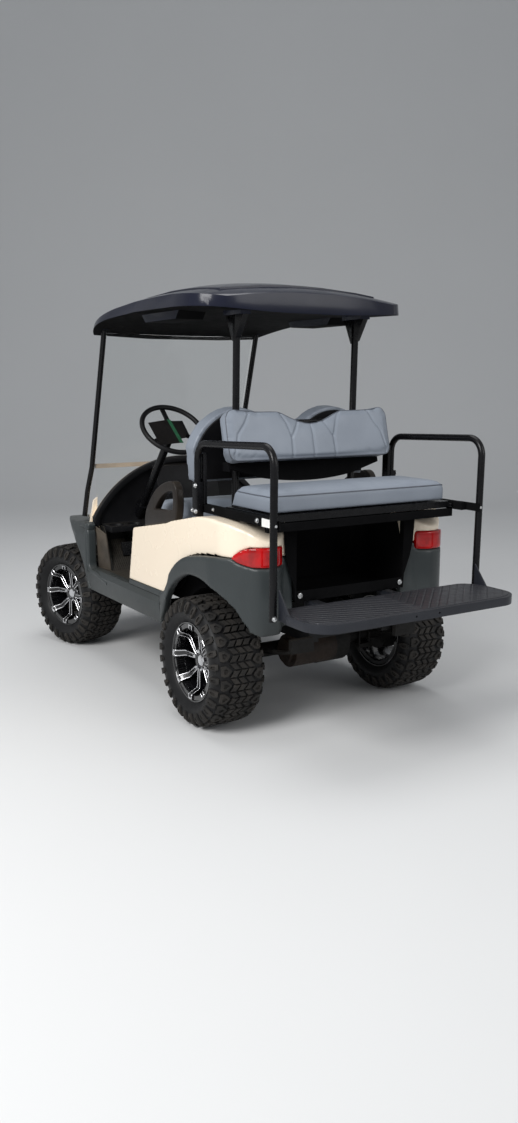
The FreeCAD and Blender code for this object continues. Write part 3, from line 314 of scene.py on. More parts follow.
def make_finish(name, light, dark, rough=(0.4, 0.5), patch=4.0, metal=0.0, coat=0.0, coat_rough=0.1,
                grains=(), dust=None, dust_share=0.0, dust_low=None, shine=0.5):
    """Colour = light to dark by patch noise; relief = each grain (pattern, size in metres, depth in metres).
    Dust lies on faces that look up, and below dust_low it thickens towards the ground."""
    material = bpy.data.materials.new(name)
    material.use_nodes = True
    tree = material.node_tree
    tree.nodes.clear()
    shader = wire(tree, "BsdfPrincipled", sockets={"Metallic": metal, "Coat Weight": coat,
                                                   "Coat Roughness": coat_rough, "Specular IOR Level": shine})
    wire(tree, "OutputMaterial", sockets={"Surface": shader.outputs[0]})
    where = wire(tree, "TexCoord").outputs
    patches = wire(tree, "TexNoise", sockets={"Vector": where["Object"], "Scale": patch, "Detail": 5.0})
    share = wire(tree, "MapRange", sockets={"Value": patches.outputs["Fac"], "From Min": PATCH_LOW,
                                            "From Max": PATCH_HIGH})
    colour = wire(tree, "Mix", {"data_type": "RGBA"}, {"Factor": share.outputs[0]})
    colour.inputs["A"].default_value, colour.inputs["B"].default_value = light, dark
    top = colour.outputs["Result"]
    if dust is not None:
        facing = wire(tree, "SeparateXYZ", sockets={"Vector": where["Normal"]})
        lying = wire(tree, "MapRange", sockets={"Value": facing.outputs["Z"], "From Min": DUST_TILT,
                                                "From Max": 1.0, "To Max": dust_share})
        fine = wire(tree, "TexNoise", sockets={"Vector": where["Object"], "Scale": DUST_SCALE, "Detail": 6.0})
        amount = wire(tree, "Math", {"operation": "MULTIPLY"}, {0: lying.outputs[0], 1: fine.outputs["Fac"]})
        if dust_low is not None:
            spot = wire(tree, "SeparateXYZ", sockets={"Vector": where["Object"]})
            near = wire(tree, "MapRange", sockets={"Value": spot.outputs["Z"], "From Min": dust_low,
                                                   "From Max": 0.0, "To Max": dust_share * SPLASH})
            both = {0: near.outputs[0], 1: fine.outputs["Fac"]}
            splash = wire(tree, "Math", {"operation": "MULTIPLY"}, both)
            both = {0: amount.outputs[0], 1: splash.outputs[0]}
            amount = wire(tree, "Math", {"operation": "MAXIMUM"}, both)
        mixed = wire(tree, "Mix", {"data_type": "RGBA"}, {"Factor": amount.outputs[0]})
        tree.links.new(top, mixed.inputs["A"])
        mixed.inputs["B"].default_value = dust
        top = mixed.outputs["Result"]
    tree.links.new(top, shader.inputs["Base Color"])
    wear = wire(tree, "TexNoise", sockets={"Vector": where["Object"], "Scale": patch * WEAR_SCALE,
                                           "Detail": 8.0})
    gloss = wire(tree, "MapRange", sockets={"Value": wear.outputs["Fac"], "From Min": WEAR_LOW,
                                            "From Max": WEAR_HIGH, "To Min": rough[0], "To Max": rough[1]})
    tree.links.new(gloss.outputs[0], shader.inputs["Roughness"])
    last = None
    for pattern, size, depth in grains:
        kind, settings, sockets, height = GRAINS[pattern]
        scale = sockets.get("Scale", 1.0) / size
        grain = wire(tree, kind, settings, {**sockets, "Vector": where["Object"], "Scale": scale})
        bump = wire(tree, "Bump", sockets={"Strength": 1.0, "Distance": depth,
                                           "Height": grain.outputs[height]})
        if last is not None:
            tree.links.new(last, bump.inputs["Normal"])
        last = bump.outputs[0]
    if last is not None:
        tree.links.new(last, shader.inputs["Normal"])
    return material


print("grains:", list(GRAINS))

# %% [markdown]
# ## Paints and plastics
# The body has smooth cream paint. The fenders are charcoal plastic with a fine orange-peel grain,
# and dust clings to them low down. Steel is powder coated. Each of these is the recipe with its own
# numbers, because a value is easier to compare with the photograph than a tree of nodes.

# %% Paint, moulded plastic and powder coat
DUST = linear(150, 138, 120)
cream = make_finish("cream_panel", linear(240, 225, 203), linear(238, 222, 200), (0.24, 0.3), 1.2, coat=0.25)
charcoal = make_finish("textured_charcoal", linear(50, 55, 56), linear(44, 49, 50), (0.32, 0.4), 3.0,
                       grains=[("noise", 0.003, 0.0005), ("cells", 0.0045, 0.0003)],
                       dust=DUST, dust_share=0.08, dust_low=0.55, shine=0.38)
powder_black = make_finish("black_powder_coat", linear(15, 15, 17), linear(11, 11, 13), (0.22, 0.32), 6.0,
                           grains=[("noise", 0.0015, 0.00003)], shine=0.2)
roof_gloss = make_finish("roof_plastic", linear(22, 25, 40), linear(18, 21, 35), (0.18, 0.26), 2.0, coat=0.15,
                         grains=[("noise", 0.05, 0.0002)], shine=0.2)
black_plastic = make_finish("moulded_black", linear(19, 19, 21), linear(14, 14, 16), (0.4, 0.52), 8.0,
                            grains=[("noise", 0.002, 0.0002)], dust=DUST, dust_share=0.05, shine=0.2)
# Matte black with almost no shine: the own colour of the black load well, seat base and frames, and painted
# shade where it goes on the roof's underside and inside the body's wheel arches.
matte_black_and_shade = make_finish("matte_black_and_shade", linear(15, 15, 16), linear(11, 11, 12), (0.8, 0.92), 6.0,
                          grains=[("noise", 0.002, 0.0001)], shine=0.05)
print("paints and plastics:", len(bpy.data.materials))

# %% [markdown]
# ## Vinyl, rubber and metal
# Seat vinyl has a pebbled grain about 2.4 mm wide over soft wrinkles. Tread rubber is dusty and
# rougher than the side wall. The wheels mix gloss black with machined faces, whose grain is so fine
# that it only softens their reflections.

# %% Vinyl, rubber, metal and small parts
seat_vinyl = make_finish("grey_vinyl", linear(129, 136, 146), linear(122, 129, 139), (0.4, 0.5), 5.0,
                         grains=[("cells", 0.0024, 0.00025), ("noise", 0.03, 0.0005)])
piping_vinyl = make_finish("piping_vinyl", linear(84, 89, 98), linear(74, 79, 88), (0.4, 0.5), 30.0,
                           grains=[("cells", 0.0018, 0.0002)])
tread_rubber = make_finish("tread_rubber", linear(52, 49, 46), linear(37, 36, 35), (0.6, 0.8), 16.0,
                           grains=[("noise", 0.004, 0.0004)], shine=0.2)
side_rubber = make_finish("side_rubber", linear(26, 26, 27), linear(20, 20, 21), (0.42, 0.55), 7.0,
                          grains=[("noise", 0.003, 0.0001)], shine=0.2)
rim_black = make_finish("wheel_gloss_black", linear(13, 13, 15), linear(9, 9, 11), (0.1, 0.18), 8.0,
                        coat=0.8, shine=0.4)
machined = make_finish("wheel_machined", linear(220, 220, 222), linear(204, 204, 207), (0.16, 0.28), 30.0,
                       metal=1.0, grains=[("noise", 0.0006, 0.00003)])
chrome = make_finish("chrome", linear(225, 226, 228), linear(214, 215, 218), (0.06, 0.12), 20.0, metal=1.0)
zinc = make_finish("zinc_plate", linear(205, 206, 206), linear(180, 181, 183), (0.25, 0.36), 60.0, metal=0.85,
                   grains=[("noise", 0.001, 0.0001)])
lamp_red = make_finish("red_lens", linear(186, 6, 10), linear(140, 2, 6), (0.1, 0.16), 22.0, coat=0.4,
                       coat_rough=0.03, shine=0.3)
loop_brown = make_finish("hip_loop", linear(38, 33, 29), linear(30, 26, 23), (0.3, 0.38), 9.0,
                         grains=[("noise", 0.0016, 0.0003)], dust=DUST, dust_share=0.08, shine=0.2)
grip = make_finish("grip_rubber", linear(20, 20, 22), linear(15, 15, 16), (0.42, 0.55), 20.0,
                   grains=[("cells", 0.002, 0.0003)], shine=0.2)
mat_rubber = make_finish("floor_mat", linear(27, 26, 25), linear(20, 20, 19), (0.55, 0.7), 5.0,
                         grains=[("ribs", 0.012, 0.0012)], dust=DUST, dust_share=0.18, shine=0.2)
kick_grey = make_finish("kick_panel", linear(84, 76, 66), linear(58, 52, 45), (0.5, 0.65), 9.0,
                        grains=[("noise", 0.01, 0.0006)], dust=DUST, dust_share=0.3)
plate_ribbed = make_finish("footplate_moulding", linear(38, 40, 46), linear(32, 34, 40), (0.34, 0.46), 6.0,
                           grains=[("noise", 0.0018, 0.0002)], dust=DUST, dust_share=0.05, shine=0.3)
dark_iron = make_finish("axle_iron", linear(24, 23, 22), linear(17, 16, 15), (0.5, 0.7), 12.0,
                        grains=[("noise", 0.004, 0.0005)], dust=DUST, dust_share=0.08, shine=0.2)
# The motor's brown is its own; it is made darker still as painted shade, since it sits under the cart.
brown_iron_and_shade = make_finish("motor_iron_and_shade", linear(42, 32, 25), linear(30, 24, 20), (0.5, 0.7), 14.0,
                         grains=[("noise", 0.003, 0.0005)], dust=DUST, dust_share=0.1, shine=0.2)
# The chassis is near-black as painted shade: it sits in shadow under the cart, and its own colour is not
# seen.
chassis_shade_black = make_finish("chassis_painted_shade", linear(22, 22, 23), linear(15, 15, 16), (0.45, 0.6), 9.0,
                            grains=[("noise", 0.003, 0.0002)], dust=DUST, dust_share=0.1, shine=0.2)
trim_grey = make_finish("windshield_trim", linear(172, 158, 142), linear(158, 146, 131), (0.4, 0.5), 10.0,
                        grains=[("noise", 0.002, 0.0001)])
label_white = make_finish("blank_label", linear(236, 234, 230), linear(226, 224, 220), (0.3, 0.4), 30.0,
                          grains=[("noise", 0.004, 0.00005)])
card_green = make_finish("card_strip", linear(46, 92, 66), linear(38, 80, 56), (0.25, 0.35), 30.0,
                         grains=[("noise", 0.004, 0.00005)])
print("finishes so far:", len(bpy.data.materials))

# %% [markdown]
# ## Clear sheet
# The windshield is a thin clear sheet, and the headlamps have clear lenses. Full transmission with a
# low index bends what lies behind only a little, as a thin sheet does, and faint smudges show that
# there is a surface.

# %% Clear plastic


def make_clear(name, tint, rough=0.02):
    """Clear plastic sheet: full transmission with a faint tint and faint smudges in its roughness."""
    material = bpy.data.materials.new(name)
    material.use_nodes = True
    tree = material.node_tree
    tree.nodes.clear()
    shader = wire(tree, "BsdfPrincipled", sockets={"Transmission Weight": 1.0, "IOR": 1.2,
                                                   "Base Color": tint})
    wire(tree, "OutputMaterial", sockets={"Surface": shader.outputs[0]})
    where = wire(tree, "TexCoord")
    smudge = wire(tree, "TexNoise", sockets={"Vector": where.outputs["Object"], "Scale": 6.0, "Detail": 6.0})
    gloss = wire(tree, "MapRange", sockets={"Value": smudge.outputs["Fac"], "From Min": 0.4, "From Max": 0.75,
                                            "To Min": rough, "To Max": rough * 3})
    tree.links.new(gloss.outputs[0], shader.inputs["Roughness"])
    return material


pane_clear = make_clear("clear_pane", (0.97, 0.985, 0.98, 1.0), 0.002)
lens_clear = make_clear("clear_lens", (0.95, 0.96, 0.97, 1.0), 0.03)
print("finishes made:", len(bpy.data.materials))

# %% [markdown]
# ## Frame parts that keep their CAD skin
# Rails, axles, springs and inner panels are already their real shape, so they only need a finish.
# The table says which finish each node takes.

# %% Finishes for the frame's own nodes
NODE_FINISH = {
    "chassis_frame": chassis_shade_black, "front_suspension": powder_black, "knuckle_left": dark_iron,
    "knuckle_right": dark_iron, "steering_link": powder_black, "rear_axle": dark_iron,
    "drive_motor": brown_iron_and_shade, "rear_springs": dark_iron, "battery_pack": black_plastic,
    "floor_pan": mat_rubber, "skirts": charcoal, "rear_fenders": charcoal, "rear_body": cream,
    "tail_lamps": lamp_red, "bag_well": matte_black_and_shade, "front_cowl": cream, "front_fenders": charcoal,
    "headlamps": lens_clear, "front_bumper": charcoal, "dash": black_plastic, "pedals": powder_black,
    "seat_base": matte_black_and_shade, "front_seat_cushion": seat_vinyl, "front_seat_pads": seat_vinyl,
    "front_seat_shells": black_plastic, "hip_restraints": loop_brown, "main_struts": powder_black,
    "front_struts": powder_black, "roof": roof_gloss, "windshield": pane_clear,
    "windshield_strip": trim_grey, "steering_column": powder_black, "steering_wheel": grip,
    "rear_seat_frame": matte_black_and_shade, "rear_arms": powder_black, "rear_back_pad": seat_vinyl,
    "rear_back_shell": matte_black_and_shade, "footplate": plate_ribbed, "rear_seat_cushion": seat_vinyl,
    "rear_seat_panel": powder_black,
}
for corner in ("rear_left", "rear_right", "front_left", "front_right"):
    NODE_FINISH["tyre_" + corner] = side_rubber
    NODE_FINISH["rim_" + corner] = rim_black
for node_name, finish in NODE_FINISH.items():
    node = nodes[node_name]
    node.data.materials.clear()
    node.data.materials.append(finish)
    node.data.polygons.foreach_set("use_smooth", np.ones(len(node.data.polygons), bool))
    node.data.set_sharp_from_angle(angle=math.radians(30))
print("nodes without a finish:", sorted(set(nodes) - set(NODE_FINISH)))

# %% [markdown]
# ## Eased panels
# Moulded panels never have knife edges. A copy of a CAD node is merged into whole faces and its
# sharp edges get a small bevel, which is what catches the light along every real panel.

# %% Copies with rounded edges
MERGE, LOOKS_DOWN = 1e-5, -0.3


def eased_copy(node_name, new_name, width, finishes, segments=2, body="chassis", angle=28.0, flat=2.0):
    """A copy of a node: points merged, flat triangles joined, edges sharper than angle bevelled by width.
    A second finish, black, goes to the faces that look down as painted shade."""
    work = bmesh.new()
    work.from_mesh(nodes[node_name].data)
    bmesh.ops.remove_doubles(work, verts=work.verts, dist=MERGE)
    bmesh.ops.dissolve_limit(work, angle_limit=math.radians(flat), verts=work.verts, edges=work.edges)
    limit = math.radians(angle)
    sharp = [edge for edge in work.edges if edge.is_manifold and edge.calc_face_angle(0.0) > limit]
    bmesh.ops.bevel(work, geom=sharp, offset=width, offset_type="OFFSET", segments=segments, profile=0.5,
                    affect="EDGES", clamp_overlap=True)
    bmesh.ops.triangulate(work, faces=[face for face in work.faces if len(face.verts) > 4])
    mesh = bpy.data.meshes.new(new_name)
    # Faces that look down take the second finish: black standing for the shade beneath.
    if len(finishes) > 1:
        for face in work.faces:
            face.material_index = int(face.normal.z < LOOKS_DOWN)
    work.to_mesh(mesh)
    work.free()
    piece = bpy.data.objects.new(new_name, mesh)
    bpy.context.scene.collection.objects.link(piece)
    return dress(piece, finishes, body, (node_name,), 40.0)


EASED = [
    # node, new name, bevel, finishes, slot, steps round the bevel
    ("skirts", "sill_skirts", 0.004, [charcoal], "textured_charcoal", 3),
    ("hip_restraints", "hip_loops", 0.014, [loop_brown], "brown_plastic", 4),
    ("dash", "dash_moulding", 0.006, [black_plastic], "black_plastic", 2),
    ("main_struts", "main_strut_frame", 0.002, [powder_black], "black_steel", 2),
    ("footplate", "footplate_board", 0.006, [plate_ribbed], "ribbed_plate", 3),
    # The roof's down-facing faces take matte black as painted shade under the canopy.
    ("roof", "roof_canopy", 0.005, [roof_gloss, matte_black_and_shade], "roof_plastic", 3),
    ("bag_well", "well_liner", 0.004, [matte_black_and_shade], "black_plastic", 3),
]
for node_name, new_name, width, finishes, slot_name, segments in EASED:
    piece = eased_copy(node_name, new_name, width, finishes, segments)
    print(new_name, "faces", len(piece.data.polygons))

# %% [markdown]
# ## Moulded fenders, body and lamps
# The fenders are thick textured plastic with generous edges. A bevel stops at the thin arch lips, so
# a copy of each is remeshed into even quads and relaxed, which rounds every edge alike. The painted
# body and the lamp lenses are made the same way. The body's faces in the wheel arch, and those that
# look inwards or down, are black as painted shade.

# %% Meshes as arrays


def bake_modifiers(piece):
    """Replaces a piece's mesh by what its modifiers make of it."""
    graph = bpy.context.evaluated_depsgraph_get()
    graph.update()
    made = bpy.data.meshes.new_from_object(piece.evaluated_get(graph))
    piece.modifiers.clear()
    piece.data = made


def read_points(mesh):
    """All points of a mesh as one array."""
    points = np.empty(len(mesh.vertices) * 3, np.float32)
    mesh.vertices.foreach_get("co", points)
    return points.reshape(-1, 3).astype(float)


def read_normals(mesh):
    """All point normals of a mesh as one array."""
    normals = np.empty(len(mesh.vertices) * 3, np.float32)
    mesh.vertices.foreach_get("normal", normals)
    return normals.reshape(-1, 3).astype(float)


def write_points(mesh, points):
    """Puts an array of points back into a mesh."""
    mesh.vertices.foreach_set("co", points.astype(np.float32).ravel())
    mesh.update()


print("points of the body panel:", len(read_points(nodes["rear_body"].data)))

# %% Fender tops and tails
CROWN_START, CROWN_TOP, CROWN_SIDE, CROWN_SPAN, CROWN_DROP = REAR_AXLE_X + 1.26, 0.754, 0.520, 0.06, 0.034


def crowned(points):
    """Top of a front fender rounded off: z is at most top - drop x share^2.
    The share is how far |y| is past the side, divided by the span."""
    past = np.clip((np.abs(points[:, 1]) - CROWN_SIDE) / CROWN_SPAN, 0, 2)
    limit = CROWN_TOP - CROWN_DROP * past ** 2
    points[:, 2] = np.where(points[:, 0] > CROWN_START, np.minimum(points[:, 2], limit), points[:, 2])
    return points


TAIL_START, TAIL_BLEND, TAIL_TOP, TAIL_HEIGHT, TAIL_DROP = REAR_AXLE_X - 0.24, 0.10, 0.66, 0.14, 0.030


def tailed(points):
    """A flare's tail behind the wheel drawn down: z - drop x share behind the start x share below the top."""
    behind = np.clip((TAIL_START - points[:, 0]) / TAIL_BLEND, 0, 1)
    points[:, 2] -= TAIL_DROP * behind * np.clip((TAIL_TOP - points[:, 2]) / TAIL_HEIGHT, 0, 1)
    return points


print("fender tops drop by", CROWN_DROP, "and tails by", TAIL_DROP)

# %% Faces of the body with painted shade
ARCH_RADIUS, ARCH_REACH, ARCH_SIDE, ARCH_TOP, TAIL_LENGTH = 0.395, 0.540, 0.545, 0.700, 0.25
LOOKS_AWAY, LOOKS_AT_AXLE = -0.5, -0.35


def arch_painted_shade(mesh):
    """1 for each face painted black as shade: ahead of the tail it looks inwards, down or at the axle, or
    lies in the arch. All other faces are 0, which keep the cream paint."""
    centre, normal = np.empty((2, len(mesh.polygons) * 3), np.float32)
    mesh.polygons.foreach_get("center", centre)
    mesh.polygons.foreach_get("normal", normal)
    centre, normal = centre.reshape(-1, 3), normal.reshape(-1, 3)
    inward = (normal[:, 1] * np.sign(centre[:, 1]) < LOOKS_AWAY) | (normal[:, 2] < LOOKS_AWAY)
    away = centre[:, [0, 2]] - [REAR_AXLE_X, WHEEL_RADIUS]
    distance = np.linalg.norm(away, axis=1)
    towards = (normal[:, [0, 2]] * away).sum(1) < LOOKS_AT_AXLE * distance
    behind = (np.abs(centre[:, 1]) < ARCH_SIDE) & (centre[:, 2] < ARCH_TOP)
    black = inward | (distance < ARCH_RADIUS) | ((towards | behind) & (distance < ARCH_REACH))
    return (black & (away[:, 0] > -TAIL_LENGTH)).astype(np.int32)


print("black inside this radius of the axle:", ARCH_RADIUS)

# %% Copies with soft edges


def relaxed_copy(node_name, new_name, voxel, rounds, finishes, reshape=None):
    """Even quads over a node's shape; each round moves every point half way to its neighbours' mean.
    reshape moves the points first. Of two finishes, the second goes to the faces of painted shade."""
    mesh = nodes[node_name].data.copy()
    mesh.materials.clear()
    face_outwards(mesh, MERGE)
    piece = bpy.data.objects.new(new_name, mesh)
    bpy.context.scene.collection.objects.link(piece)
    even = piece.modifiers.new("even", "REMESH")
    even.mode, even.voxel_size = "VOXEL", voxel
    if reshape:
        bake_modifiers(piece)
        write_points(piece.data, reshape(read_points(piece.data)))
    relax = piece.modifiers.new("relax", "SMOOTH")
    relax.factor, relax.iterations = 0.5, rounds
    bake_modifiers(piece)
    if len(finishes) > 1:
        piece.data.polygons.foreach_set("material_index", arch_painted_shade(piece.data))
    return dress(piece, finishes, "chassis", (node_name,), 180.0)


for node_name, new_name, voxel, rounds, finishes, slot_name, reshape in (
    ("front_fenders", "front_flares", 0.0065, 16, [charcoal], "textured_charcoal", crowned),
    ("rear_fenders", "rear_flares", 0.0070, 8, [charcoal], "textured_charcoal", tailed),
    # The body's second finish, matte black, is painted shade in its wheel arches.
    ("rear_body", "quarter_panels", 0.0070, 4, [cream, matte_black_and_shade], "cream_panel", None),
    ("tail_lamps", "lamp_lenses", 0.0040, 26, [lamp_red], "red_lens", None),
):
    piece = relaxed_copy(node_name, new_name, voxel, rounds, finishes, reshape)
    print(new_name, "faces", len(piece.data.polygons))

# %% [markdown]
# ## Door openings
# A rounded rim runs down the rear edge of each front fender, turns, and sinks into the sill. A worn
# panel closes the space behind it, and a strip of the cowl shows beside the dash. The rim is a
# rounded bar on a bent path; the other two are plates with four corners.

# %% Door rims, kick panels and cowl strips
DOOR_PATH = [(1.330, 0.575, 0.742), (1.236, 0.575, 0.742), (1.239, 0.575, 0.495), (1.140, 0.575, 0.495),
             (0.980, 0.575, 0.470)]
KICK_CORNERS = [(1.240, 0.549, 0.738), (1.240, 0.534, 0.482), (1.130, 0.508, 0.500), (1.146, 0.530, 0.705)]
CHEEK_CORNERS = [(0.546, 0.745), (0.512, 0.745), (0.500, 0.888), (0.521, 0.872)]
DOOR_BEND, RIM_SECTION, KICK_WALL, CHEEK_STATIONS = 0.050, (0.052, 0.026, 0.011), 0.006, (1.330, 1.312)
rims, kicks, cheeks = Skin(), Skin(), Skin()
for side in (1, -1):
    path = place(bent_path(DOOR_PATH, DOOR_BEND, 12)) * [1, side, 1]
    ring_stack(rims, carried(path, rounded_bar(*RIM_SECTION), (0, 1, 0)))
    rings = [[(x, (y - inset) * side, z) for x, y, z in KICK_CORNERS] for inset in (0.0, KICK_WALL)]
    ring_stack(kicks, place(rings))
    ring_stack(cheeks, place([[(x, y * side, z) for y, z in CHEEK_CORNERS] for x in CHEEK_STATIONS]))
make_piece("door_rims", rims, [charcoal], "chassis", (), 60.0)
make_piece("kick_panels", kicks, [kick_grey], "chassis")
make_piece("cowl_cheeks", cheeks, [cream], "chassis")
print("door rim points:", rims.count)

# %% [markdown]
# ## All-terrain tyres
# A tyre is a turned carcass with blocks standing on it. Sculpting the blocks is hopeless, so each
# block is an outline in tread coordinates (share of a pitch round the tyre, distance across it),
# repeated once for every pitch and mapped onto the carcass as whole arrays. Two staggered rows of
# shoulder lugs, two rows of big blocks with a sunk middle, and three columns of slanting bars.

# %% Carcass and tread map
PITCHES, CARCASS_STEPS = 28, 112
TREAD_DEPTH, BLOCK_FOOT, BLOCK_EASE, BLOCK_SUNK = 0.0105, 0.003, 0.0009, 0.0065
CARCASS = eased_line([
    (0.0945, 0.1520), (0.0945, 0.1700), (0.0960, 0.1815), (0.1060, 0.1930), (0.1185, 0.2140),
    (0.1210, 0.2340), (0.1165, 0.2550), (0.1060, 0.2700), (0.0900, 0.2780), (0.0500, 0.2812),
    (0.0000, 0.2815)], 61)[::-1]
carcass_run = np.concatenate([[0.0], np.cumsum(np.linalg.norm(np.diff(CARCASS, axis=0), axis=1))])
carcass_slope = np.gradient(CARCASS, carcass_run, axis=0)


def tread_point(turn, across, height):
    """Point over the carcass: read (along, radius) at the distance across, step out by height, turn it."""
    side, run = np.sign(across), np.abs(across)
    along, radius, slope_along, slope_radius = (
        np.interp(run, carcass_run, column) for column in (*CARCASS.T, *carcass_slope.T))
    along, radius = (along - height * slope_radius) * side, radius + height * slope_along
    angle = turn * 2 * np.pi / PITCHES
    return np.stack([radius * np.cos(angle), along, radius * np.sin(angle)], -1)


print("half the tread's width along the surface:", round(float(carcass_run[-1]), 4))

# %% Blocks on the carcass
# Outlines as (share of a pitch, distance across).
LUG = [(0.05, 0.107), (0.38, 0.107), (0.50, 0.118), (0.48, 0.136), (0.38, 0.155), (0.12, 0.155),
       (0.00, 0.130)]
BIG_BLOCK = [(-0.34, 0.099), (0.27, 0.099), (0.37, 0.089), (0.32, 0.071), (0.06, 0.054), (-0.08, 0.056),
             (-0.36, 0.078)]
BAR_SHIFT = 0.57
BAR_ROWS = [(0.06, 0.44, -1), (0.56, 0.94, 1)]
BAR_COLUMNS = (-0.0500, -0.01375, 0.0225)
BAR_WIDTH, BAR_LEAN = 0.0250, 0.0100


def add_blocks(skin, outline, shift, side, sunk):
    """Rings of one block for every pitch: foot, wall top, eased top, and for a sunk middle two more."""
    outline = (np.asarray(outline, float) + [shift, 0.0]) * [1.0, side]
    middle = outline.mean(0)
    rings = [(1.05, -BLOCK_FOOT), (1.00, TREAD_DEPTH - BLOCK_EASE), (0.96, TREAD_DEPTH)]
    if sunk:
        rings += [(0.50, TREAD_DEPTH), (0.42, TREAD_DEPTH - BLOCK_SUNK)]
    scale = np.array([ring[0] for ring in rings])[:, None, None]
    height = np.array([ring[1] for ring in rings])[:, None]
    flat = middle + (outline - middle) * scale
    count, corners = len(rings), len(outline)
    pitch = np.arange(PITCHES)[:, None, None]
    turn, distance = flat[None, :, :, 0] + pitch, flat[None, :, :, 1] + 0 * pitch
    points = tread_point(turn, distance, height[None] + 0 * pitch)
    walls = grid_faces(count, corners, wrap_cols=True)
    base = (np.arange(PITCHES) * count * corners)[:, None, None]
    skin.add(points.reshape(-1, 3), (walls[None] + base).reshape(-1, 4),
             *[(cap[None] + base).reshape(-1, corners) for cap in end_caps(count, corners)])


print("bars round the tyre:", PITCHES * len(BAR_ROWS) * len(BAR_COLUMNS))

# %% One tyre


def build_tyre():
    """Carcass turned all round, with lugs, big blocks and slanting bars standing on it."""
    skin = Skin()
    half = CARCASS[::-1]
    profile = np.concatenate([half, (half[::-1] * [-1, 1])[1:]])
    add_turned(skin, profile, CARCASS_STEPS, finish=1)
    for side, shift in ((1, 0.0), (-1, -0.5)):
        add_blocks(skin, LUG, shift, side, True)
        add_blocks(skin, BIG_BLOCK, shift + BAR_SHIFT, side, True)
    for start, end, turn in BAR_ROWS:
        for column in BAR_COLUMNS:
            near, far = column + turn * BAR_LEAN, column - turn * BAR_LEAN
            bar = [(start, near), (start, near + BAR_WIDTH), (end, far + BAR_WIDTH), (end, far)]
            add_blocks(skin, bar, BAR_SHIFT, 1, False)
    return skin


tyre_skin = build_tyre()
print("tyre points:", tyre_skin.count)

# %% [markdown]
# ## Wheels
# The wheels are gloss black with machined ridges: eight spokes, each a channel between two bright
# ridges, that lie flat from a deep hub, rise steeply and close over the lip. They lean together in
# pairs. One row of stations gives a spoke; turning it to eight places is one array product.

# %% Profiles of the rim, hub, cap and nuts
RIM_PROFILE = [
    (0.0948, 0.1520), (0.0948, 0.1790), (0.0960, 0.1800), (0.0990, 0.1800), (0.1000, 0.1785),
    (0.0990, 0.1740), (0.0930, 0.1705), (0.0880, 0.1655), (0.0700, 0.1560), (0.0400, 0.1480),
    (-0.0850, 0.1480), (-0.0950, 0.1700), (-0.0995, 0.1740), (-0.1000, 0.1785), (-0.0990, 0.1800),
    (-0.0960, 0.1800), (-0.0948, 0.1790), (-0.0948, 0.1520),
]
SPOKES, FIRST_SPOKE = 8, math.radians(92)
SPOKE_STATIONS = np.array([
    # radius, lean, half width, back, front, depth of the channel
    (0.040, 0.0086, 0.0095, 0.033, 0.0515, 0.004), (0.060, 0.0071, 0.0109, 0.035, 0.0540, 0.006),
    (0.112, 0.0031, 0.0129, 0.041, 0.0570, 0.006), (0.122, 0.0023, 0.0133, 0.042, 0.0578, 0.006),
    (0.128, 0.0018, 0.0137, 0.045, 0.0612, 0.006), (0.142, 0.0004, 0.0147, 0.070, 0.0893, 0.006),
    (0.148, 0.0000, 0.0150, 0.085, 0.0995, 0.006), (0.153, 0.0000, 0.0152, 0.095, 0.1025, 0.005),
    (0.1655, 0.0000, 0.0154, 0.095, 0.1025, 0.005), (0.1675, 0.0000, 0.0155, 0.095, 0.1025, 0.0003),
    (0.1715, 0.0000, 0.0155, 0.095, 0.1022, 0.0002), (0.1725, 0.0000, 0.0152, 0.095, 0.1010, 0.0),
])
RIDGE, EASE, CHANNEL_WALL = 0.0050, 0.0008, 0.0012
HUB_PROFILE = [(0.034, 0.001), (0.034, 0.058), (0.045, 0.060), (0.046, 0.052), (0.044, 0.044),
               (0.046, 0.034), (0.046, 0.001)]
CAP_PROFILE = [(0.045, 0.001), (0.045, 0.026), (0.049, 0.0255), (0.0505, 0.022), (0.0495, 0.017),
               (0.0500, 0.001)]
NUT_PROFILE = [(0.044, 0.001), (0.044, 0.0095), (0.058, 0.0095), (0.063, 0.006), (0.064, 0.001)]
NUTS, FIRST_NUT, NUT_CIRCLE = 5, 0.3, 0.043


print("stations of a spoke:", len(SPOKE_STATIONS))

# %% Spokes


def spoke_rings():
    """Rings round every spoke: r (cos a, sin a) + across (-sin a, cos a), height along the axle."""
    radius, lean, half, back, front, channel = SPOKE_STATIONS.T
    floor = front - channel
    left = [(-half, back), (-half, front - EASE), (EASE - half, front), (RIDGE - EASE - half, front),
            (RIDGE - half, np.maximum(front - EASE, floor)), (RIDGE + CHANNEL_WALL - half, floor)]
    across = np.stack([pair[0] for pair in left] + [-pair[0] for pair in left[::-1]], 1) + lean[:, None]
    height = np.stack([pair[1] for pair in left] + [pair[1] for pair in left[::-1]], 1)
    number = np.arange(SPOKES)[:, None, None]
    angle = FIRST_SPOKE + number * 2 * np.pi / SPOKES
    across = across[None] * np.where(number % 2 == 0, 1.0, -1.0)
    reach = radius[None, :, None]
    return np.stack([reach * np.cos(angle) - across * np.sin(angle), height[None] + 0 * across,
                     reach * np.sin(angle) + across * np.cos(angle)], -1)


print("spokes, stations, points round a spoke:", spoke_rings().shape[:3])

# %% One wheel


